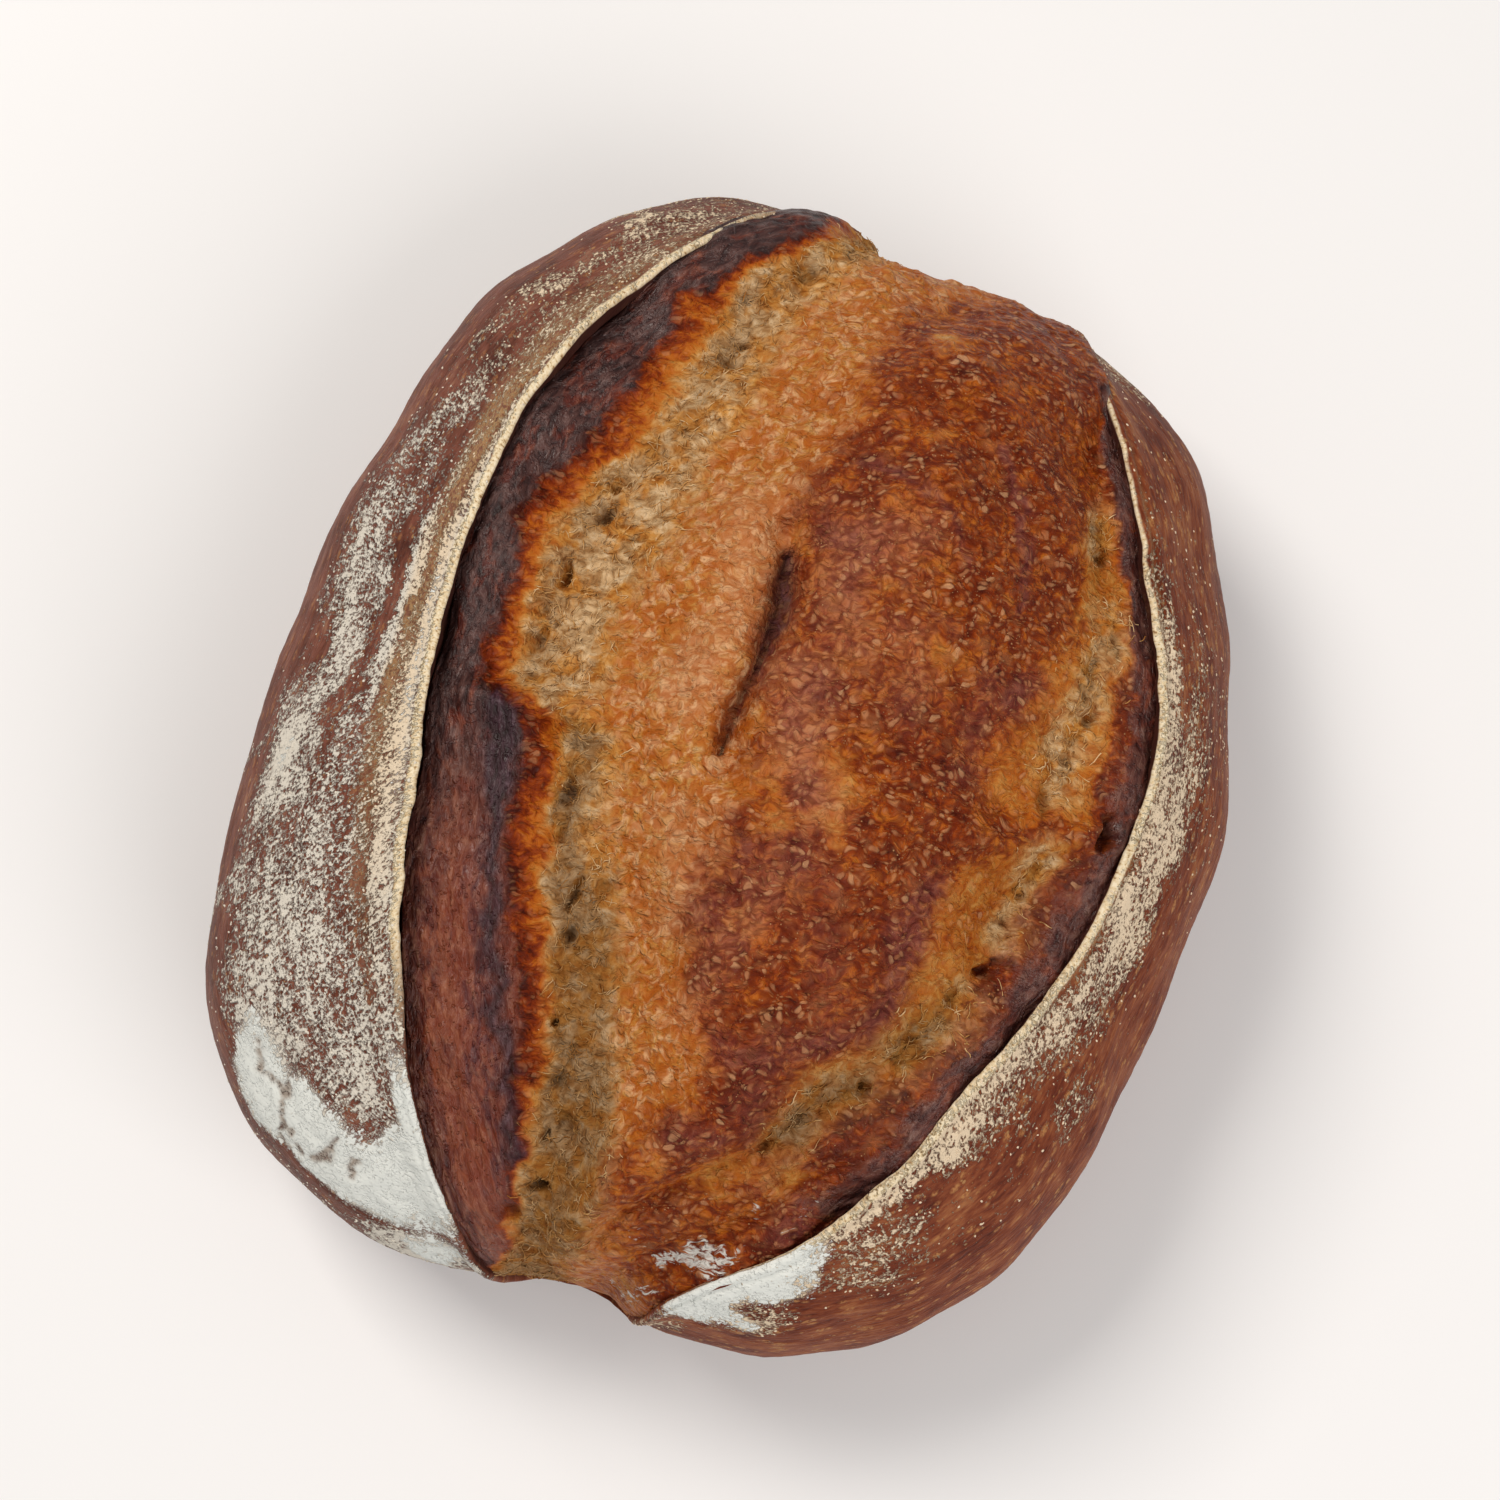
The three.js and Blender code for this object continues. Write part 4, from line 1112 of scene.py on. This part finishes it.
def addCutFaces(add, field, pattern, skin):
    # pimpled and almost black where the oven was hottest, redder and drawn out where it was not
    grain, hue = pattern.stripGrain, pattern.stripHue
    soot = add("ValToRGB", [grain], stops=[
        (0.3, "#1A0C0C"), (0.44, "#382120"), (0.58, "#523632"), (0.74, "#705652")])
    rust = add("ValToRGB", [grain], stops=[(0.32, "#2E0A05"), (0.5, "#601F0E"), (0.7, "#8C4A2E")])
    rustHow = add("MapRange", [hue, 0.5, 0.64, 0.0, 0.65], interpolation_type="SMOOTHSTEP")
    soot = add("Mix", [rustHow, soot, rust], data_type="RGBA")
    # the pimples are paler: partly their own colour and partly painted highlight for their glints
    pimpleGlint = add("Math", [pattern.pimples, 0.3], operation="MULTIPLY")
    soot = add("Mix", [pimpleGlint, soot, "#7A6464"], data_type="RGBA")
    fromLip = add("SeparateXYZ", [field.flow], take="X")
    fromLip = add("Math", [fromLip, add("MapRange", [hue, 0.3, 0.7, -4.5, 4.5])], operation="ADD")
    drawn = add("ValToRGB", [add("MapRange", [fromLip, 0.0, 20.0, 0.0, 1.0])], stops=[
        (0.02, "#2C0E0E"), (0.14, "#4E1A14"), (0.3, "#84462C"), (0.42, "#702C14"), (0.56, "#7C3E2E"),
        (0.72, "#43202A"), (0.86, "#6A2810")])
    drawnGrain = add("ValToRGB", [grain], stops=[(0.3, "#380C08"), (0.5, "#743420"), (0.7, "#AE785C")])
    drawn = add("Mix", [0.42, drawn, drawnGrain], data_type="RGBA")
    strip = add("Mix", [field.paleStrip, soot, drawn], data_type="RGBA")
    stripHow = field.char
    for noise, swing in ((pattern.mottle, 0.16), (pattern.clouds, 0.2)):
        wander = add("MapRange", [noise, 0.3, 0.7, -swing, swing])
        stripHow = add("Math", [stripHow, wander], operation="ADD")
    stripHow = add("MapRange", [stripHow, 0.25, 0.75, 0.0, 1.0], interpolation_type="SMOOTHSTEP")
    # the blue-black edge of the left cut face, and the crease's dark colour, which is partly painted shade
    edgeHow = add("Math", [field.edge, 0.85], operation="MULTIPLY")
    edgeTint = add("ValToRGB", [grain], stops=[(0.35, "#1A0A0C"), (0.55, "#36222C"), (0.72, "#5C4854")])
    for how, tint in ((stripHow, strip), (edgeHow, edgeTint)):
        skin = add("Mix", [how, skin, tint], data_type="RGBA")
    return skin


def bloomMaterial():
    # Wheat dough torn open by oven spring, then baked: the starch gelled to a thin glazed skin over small gas
    # cells, brown and blistered on top, and left as dry pale crumb down in the valleys.
    material, tree = newMaterial("bakedTornDough")
    add = functools.partial(addNode, tree)
    look = {
        "blister": 1.25, "blisterLength": 1.65, "smallBlister": 0.8, "seed": 0.5,  # in mm, across the loaf
        "mottle": 1.9, "fibre": 0.9, "fibreLength": 2.4, "cloud": 6.5, "cream": 2.6, "pimple": 0.95,
        "stripGrain": 1.4, "stripLength": 3.2, "stripCloud": 3, "stripCloudLength": 7,
        "bend": 3.8, "tilt": -0.25,
        "skinRoughness": 0.42, "stripRoughness": 0.3, "crumbRoughness": 0.9,
        "skinGloss": 0.09, "stripGloss": 0.36, "bumpHeight": 0.00045,
    }
    field = addFields(
        tree, "bake plum char paleStrip edge crumb blister pink pit hole dust glazed gold", "flow")
    pattern = addDoughPatterns(tree, look, field)
    skin = addBakedGround(add, field, pattern)
    skin = addCrownAndBlisters(add, field, pattern, skin)
    skin = addPlumAndCrumb(add, field, pattern, skin)
    skin = addCutFaces(add, field, pattern, skin)
    dustHow = add("Math", [pattern.fibres, field.dust], operation="ADD")
    dustHow = add("MapRange", [dustHow, 0.9, 1.04, 0.0, 1.0], interpolation_type="SMOOTHSTEP")
    # painted shade, near black, down in the open pores; then the flour dust
    for how, tint in ((field.hole, "#2E1208"), (dustHow, "#D0CEC8")):
        skin = add("Mix", [how, skin, tint], data_type="RGBA")

    dry = add("Math", [field.crumb, dustHow], operation="MAXIMUM")
    rough = add("MapRange", [field.char, 0.0, 1.0, look["skinRoughness"], look["stripRoughness"]])
    rough = add("Mix", [dry, rough, look["crumbRoughness"]], data_type="FLOAT")
    gloss = add("MapRange", [field.char, 0.0, 1.0, look["skinGloss"], look["stripGloss"]])
    height = add("Math", [pattern.spots, 0.8], operation="MULTIPLY")
    for part, share in (
            (pattern.smallSpots, 0.5), (pattern.glintSpecks, 0.3), (pattern.mottle, -2.2), (pattern.fibres, -1.1)):
        height = add("Math", [part, share, height], operation="MULTIPLY_ADD")
    stripHeight = add("Math", [pattern.pimples, 1.2], operation="MULTIPLY")
    stripHeight = add("Math", [pattern.stripGrain, 3.0, stripHeight], operation="MULTIPLY_ADD")
    height = add("Mix", [field.char, height, stripHeight], data_type="FLOAT")
    bump = add("Bump", {"Height": height, "Strength": 0.9, "Distance": look["bumpHeight"]})
    shader = add("BsdfPrincipled", {
        "Base Color": skin, "Roughness": rough, "Normal": bump, "Specular IOR Level": gloss})
    add("OutputMaterial", {"Surface": shader})
    return material


# Loose flour and torn threads, scattered over the skins by Geometry Nodes

looseFlour = {"Grains per square metre": 330000, "Grain width": 0.00062, "Jag": 0.00035, "Seed": 7}
tornThreads = {
    "Threads per square metre": 420000, "Thread length": 0.0028, "Thread width": 0.00017, "Arch": 0.00025,
    "Wander": 0.0016, "Seed": 3,
}


def looseFlourMaterial():
    # Dry wheat and rice flour in grains and small clots: quite matt, and creamy where it browned.
    material, tree = newMaterial("looseFlour")
    add = functools.partial(addNode, tree)
    tan, warm = (add("Attribute", take="Fac", attribute_name=name) for name in ("tan", "warm"))
    warmth = add("Math", [tan, warm], operation="MAXIMUM")
    powder = add("Mix", [warmth, "#DDD8CC", "#E2CDB0"], data_type="RGBA")
    shader = add("BsdfPrincipled", {"Base Color": powder, "Roughness": 0.95, "Specular IOR Level": 0.1})
    add("OutputMaterial", {"Surface": shader})
    return material


def tornThreadMaterial():
    # Strands of gluten that tore and dried: pale amber, with painted shade down in the hollows.
    material, tree = newMaterial("driedGluten")
    add = functools.partial(addNode, tree)
    pit = add("Attribute", take="Fac", attribute_name="pit")
    place = add("VectorMath", {"Vector": add("TexCoord", take="Object"), "Scale": 1000.0}, operation="SCALE")
    clouds = addPattern(tree, "TexNoise", place, (3, 3, 3), Detail=2.0)
    tint = add("ValToRGB", [clouds], stops=[(0.36, "#DDBC8E"), (0.5, "#C6965A"), (0.64, "#A26A30")])
    # painted shade from the pit field, where the threads lie in the crumb's pits and valley
    tint = add("Mix", [add("Math", [pit, 0.6], operation="MULTIPLY"), tint, "#7A5228"], data_type="RGBA")
    shader = add("BsdfPrincipled", {"Base Color": tint, "Roughness": 0.75, "Specular IOR Level": 0.15})
    add("OutputMaterial", {"Surface": shader})
    return material


def newScatterTree(name, sizes):
    # an empty tree with a named input for each size, and those inputs
    tree = bpy.data.node_groups.new(name, "GeometryNodeTree")
    tree.interface.new_socket("Geometry", in_out="INPUT", socket_type="NodeSocketGeometry")
    tree.interface.new_socket("Geometry", in_out="OUTPUT", socket_type="NodeSocketGeometry")
    for key, value in sizes.items():
        kind = "NodeSocketInt" if isinstance(value, int) else "NodeSocketFloat"
        tree.interface.new_socket(key, in_out="INPUT", socket_type=kind)
    return tree, tree.nodes.new("NodeGroupInput").outputs


def addScatter(tree, sizes, where, perArea, shape, smallest, largest):
    # copies of a shape on the skin, each turned its own way about the skin's normal and made real
    add = functools.partial(addNode, tree)
    density = add("Math", [where, sizes[perArea]], operation="MULTIPLY")
    points = add("GeometryNodeDistributePointsOnFaces", {
        "Mesh": sizes["Geometry"], "Density": density, "Seed": sizes["Seed"]}, take="Points")
    scale = add("FunctionNodeRandomValue", {"Min": smallest, "Max": largest, "Seed": sizes["Seed"]},
                data_type="FLOAT_VECTOR")
    turn = add("FunctionNodeRandomValue", {"Min": (0, 0, 0), "Max": (0, 0, 6.2832), "Seed": sizes["Seed"]},
               data_type="FLOAT_VECTOR")
    turn = add("FunctionNodeEulerToRotation", [turn])
    turn = add("FunctionNodeRotateRotation", {"Rotation": points.node.outputs["Rotation"], "Rotate By": turn},
               rotation_space="LOCAL")
    copies = add("GeometryNodeInstanceOnPoints", {
        "Points": points, "Instance": shape, "Rotation": turn, "Scale": scale})
    return add("GeometryNodeRealizeInstances", {"Geometry": copies})


def addWander(tree, geometry, reach, waveLength):
    # moves every point by up to half the reach, smoothly over the wave length
    wave = addNode(tree, "TexNoise", {"Scale": 1 / waveLength, "Detail": 1.0}, take="Color")
    wave = addNode(tree, "VectorMath", [wave, (0.5, 0.5, 0.5)], operation="SUBTRACT")
    wave = addNode(tree, "VectorMath", {"Vector": wave, "Scale": reach}, operation="SCALE")
    return addNode(tree, "GeometryNodeSetPosition", {"Geometry": geometry, "Offset": wave})


def looseFlourTree():
    tree, sizes = newScatterTree("looseFlour", looseFlour)
    add = functools.partial(addNode, tree)
    flour, chalk = (
        add("GeometryNodeInputNamedAttribute", {"Name": name}, data_type="FLOAT")
        for name in ("flour", "chalk"))
    where = add("Math", [flour, chalk], operation="SUBTRACT")
    radius = add("Math", [sizes["Grain width"], 0.5], operation="MULTIPLY")
    grain = add("GeometryNodeMeshIcoSphere", {"Radius": radius, "Subdivisions": 1}, take="Mesh")
    grains = addScatter(
        tree, sizes, where, "Grains per square metre", grain,
        smallest=(0.5, 0.5, 0.3), largest=(1.5, 1.2, 0.6))
    grains = addWander(tree, grains, sizes["Jag"], 0.0005)
    grains = add("GeometryNodeSetMaterial", {"Geometry": grains, "Material": looseFlourMaterial()})
    add("NodeGroupOutput", [grains])
    return tree


def tornThreadTree():
    tree, sizes = newScatterTree("tornThreads", tornThreads)
    add = functools.partial(addNode, tree)
    crumb, hole = (
        add("GeometryNodeInputNamedAttribute", {"Name": name}, data_type="FLOAT")
        for name in ("crumb", "hole"))
    where = add("Math", [crumb, hole], operation="SUBTRACT")
    half = add("Math", [sizes["Thread length"], 0.5], operation="MULTIPLY")
    start = add("CombineXYZ", [add("Math", [half, -1.0], operation="MULTIPLY"), 0.0, -0.0002])
    end = add("CombineXYZ", [half, 0.0, -0.0002])
    middle = add("CombineXYZ", [0.0, sizes["Arch"], add("Math", [sizes["Arch"], 2.0], operation="MULTIPLY")])
    line = add("GeometryNodeCurveQuadraticBezier", {
        "Resolution": 6, "Start": start, "Middle": middle, "End": end})
    along = add("GeometryNodeSplineParameter", take="Factor")
    taper = add("Math", [along, add("Math", [1.0, along], operation="SUBTRACT")], operation="MULTIPLY")
    taper = add("Math", [taper, 3.2, 0.2], operation="MULTIPLY_ADD")  # thin at both ends
    line = add("GeometryNodeSetCurveRadius", {"Curve": line, "Radius": taper})
    radius = add("Math", [sizes["Thread width"], 0.5], operation="MULTIPLY")
    section = add("GeometryNodeCurvePrimitiveCircle", {"Resolution": 3, "Radius": radius}, take="Curve")
    thread = add("GeometryNodeCurveToMesh", {"Curve": line, "Profile Curve": section, "Fill Caps": True})
    threads = addScatter(
        tree, sizes, where, "Threads per square metre", thread,
        smallest=(0.4, 0.6, 0.4), largest=(1.5, 1.5, 1.4))
    threads = addWander(tree, threads, sizes["Wander"], 0.0016)
    threads = add("GeometryNodeSetMaterial", {"Geometry": threads, "Material": tornThreadMaterial()})
    add("NodeGroupOutput", [threads])
    return tree


def scatterOver(name, skin, tree, sizes):
    # what the tree scatters over a skin, as a plain mesh
    piece = bpy.data.objects.new(name, skin.data)
    bpy.context.scene.collection.objects.link(piece)
    scatter = piece.modifiers.new("scatter", "NODES")
    scatter.node_group = tree
    for item in tree.interface.items_tree:
        if item.in_out == "INPUT" and item.name in sizes:
            scatter[item.identifier] = sizes[item.name]
    scattered = piece.evaluated_get(bpy.context.evaluated_depsgraph_get())
    mesh = bpy.data.meshes.new_from_object(scattered)
    piece.modifiers.remove(scatter)
    piece.data = mesh
    mesh.shade_smooth()
    print(name, sum(len(face.vertices) - 2 for face in mesh.polygons), "triangles")
    return piece


# The pieces

vertices, faces, fields = crustGeometry()
crustSkin = addSkin("crust", vertices, faces, fields, crustMaterial())
vertices, faces, fields = bloomGeometry()
bloomSkin = addSkin("bloom", vertices, faces, fields, bloomMaterial())
flourGrains = scatterOver("flourGrains", crustSkin, looseFlourTree(), looseFlour)
crumbThreads = scatterOver("crumbThreads", bloomSkin, tornThreadTree(), tornThreads)
for piece in (crustSkin, bloomSkin, flourGrains, crumbThreads):
    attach(piece, "root")
    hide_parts("loaf")


# Camera, floor and light

studio = {
    "cameraSpot": (0.036936, -0.097489, 0.65092), "azimuth": 20, "elevation": 80, "lens": 71.408,
    "floorSize": 3.0,
    "keyPower": 13, "keySize": 0.6, "keySpot": (-0.75, 0.35, 1.15),
    "fillPower": 10, "fillSize": 1.0, "fillSpot": (0.9, -0.5, 0.9),
    "skyStrength": 0.36,
}


def addCamera():
    azimuth, elevation = math.radians(studio["azimuth"]), math.radians(studio["elevation"])
    away = math.cos(elevation)
    back = Vector((math.sin(azimuth) * away, -math.cos(azimuth) * away, math.sin(elevation)))
    right = Vector((math.cos(azimuth), math.sin(azimuth), 0))
    up = back.cross(right)
    data = bpy.data.cameras.new("camera")
    data.lens = studio["lens"]
    data.clip_start = 0.01
    camera = bpy.data.objects.new("camera", data)
    turn = Matrix((right, up, back)).transposed().to_4x4()
    camera.matrix_world = Matrix.Translation(studio["cameraSpot"]) @ turn
    bpy.context.scene.collection.objects.link(camera)
    bpy.context.scene.camera = camera


def addSoftLight(name, spot, size, power, tint):
    data = bpy.data.lights.new(name, "AREA")
    data.size = size
    data.energy = power
    data.color = colour(tint)[:3]
    light = bpy.data.objects.new(name, data)
    light.location = spot
    light.rotation_euler = (Vector((0, 0, 0.05)) - Vector(spot)).to_track_quat("-Z", "Y").to_euler()
    bpy.context.scene.collection.objects.link(light)


def addFloor():
    material, tree = newMaterial("matPaleFloor")
    shader = addNode(tree, "BsdfPrincipled", {"Base Color": "#EDEFF2", "Roughness": 0.9})
    addNode(tree, "OutputMaterial", {"Surface": shader})
    half = studio["floorSize"] / 2
    corners = [(-half, -half, 0), (half, -half, 0), (half, half, 0), (-half, half, 0)]
    mesh = bpy.data.meshes.new("floor")
    mesh.from_pydata(corners, [], [(0, 1, 2, 3)])
    mesh.materials.append(material)
    floor = bpy.data.objects.new("floor", mesh)
    bpy.context.scene.collection.objects.link(floor)


addCamera()
addFloor()
addSoftLight("windowLight", studio["keySpot"], studio["keySize"], studio["keyPower"], "#FFF6EC")
addSoftLight("fillLight", studio["fillSpot"], studio["fillSize"], studio["fillPower"], "#FFF8F2")
world = bpy.data.worlds.new("softSky")
world.use_nodes = True
world.node_tree.nodes["Background"].inputs["Color"].default_value = colour("#FAF7F3")
world.node_tree.nodes["Background"].inputs["Strength"].default_value = studio["skyStrength"]
bpy.context.scene.world = world
bpy.context.scene.view_settings.view_transform = "Standard"
print("studio ready")
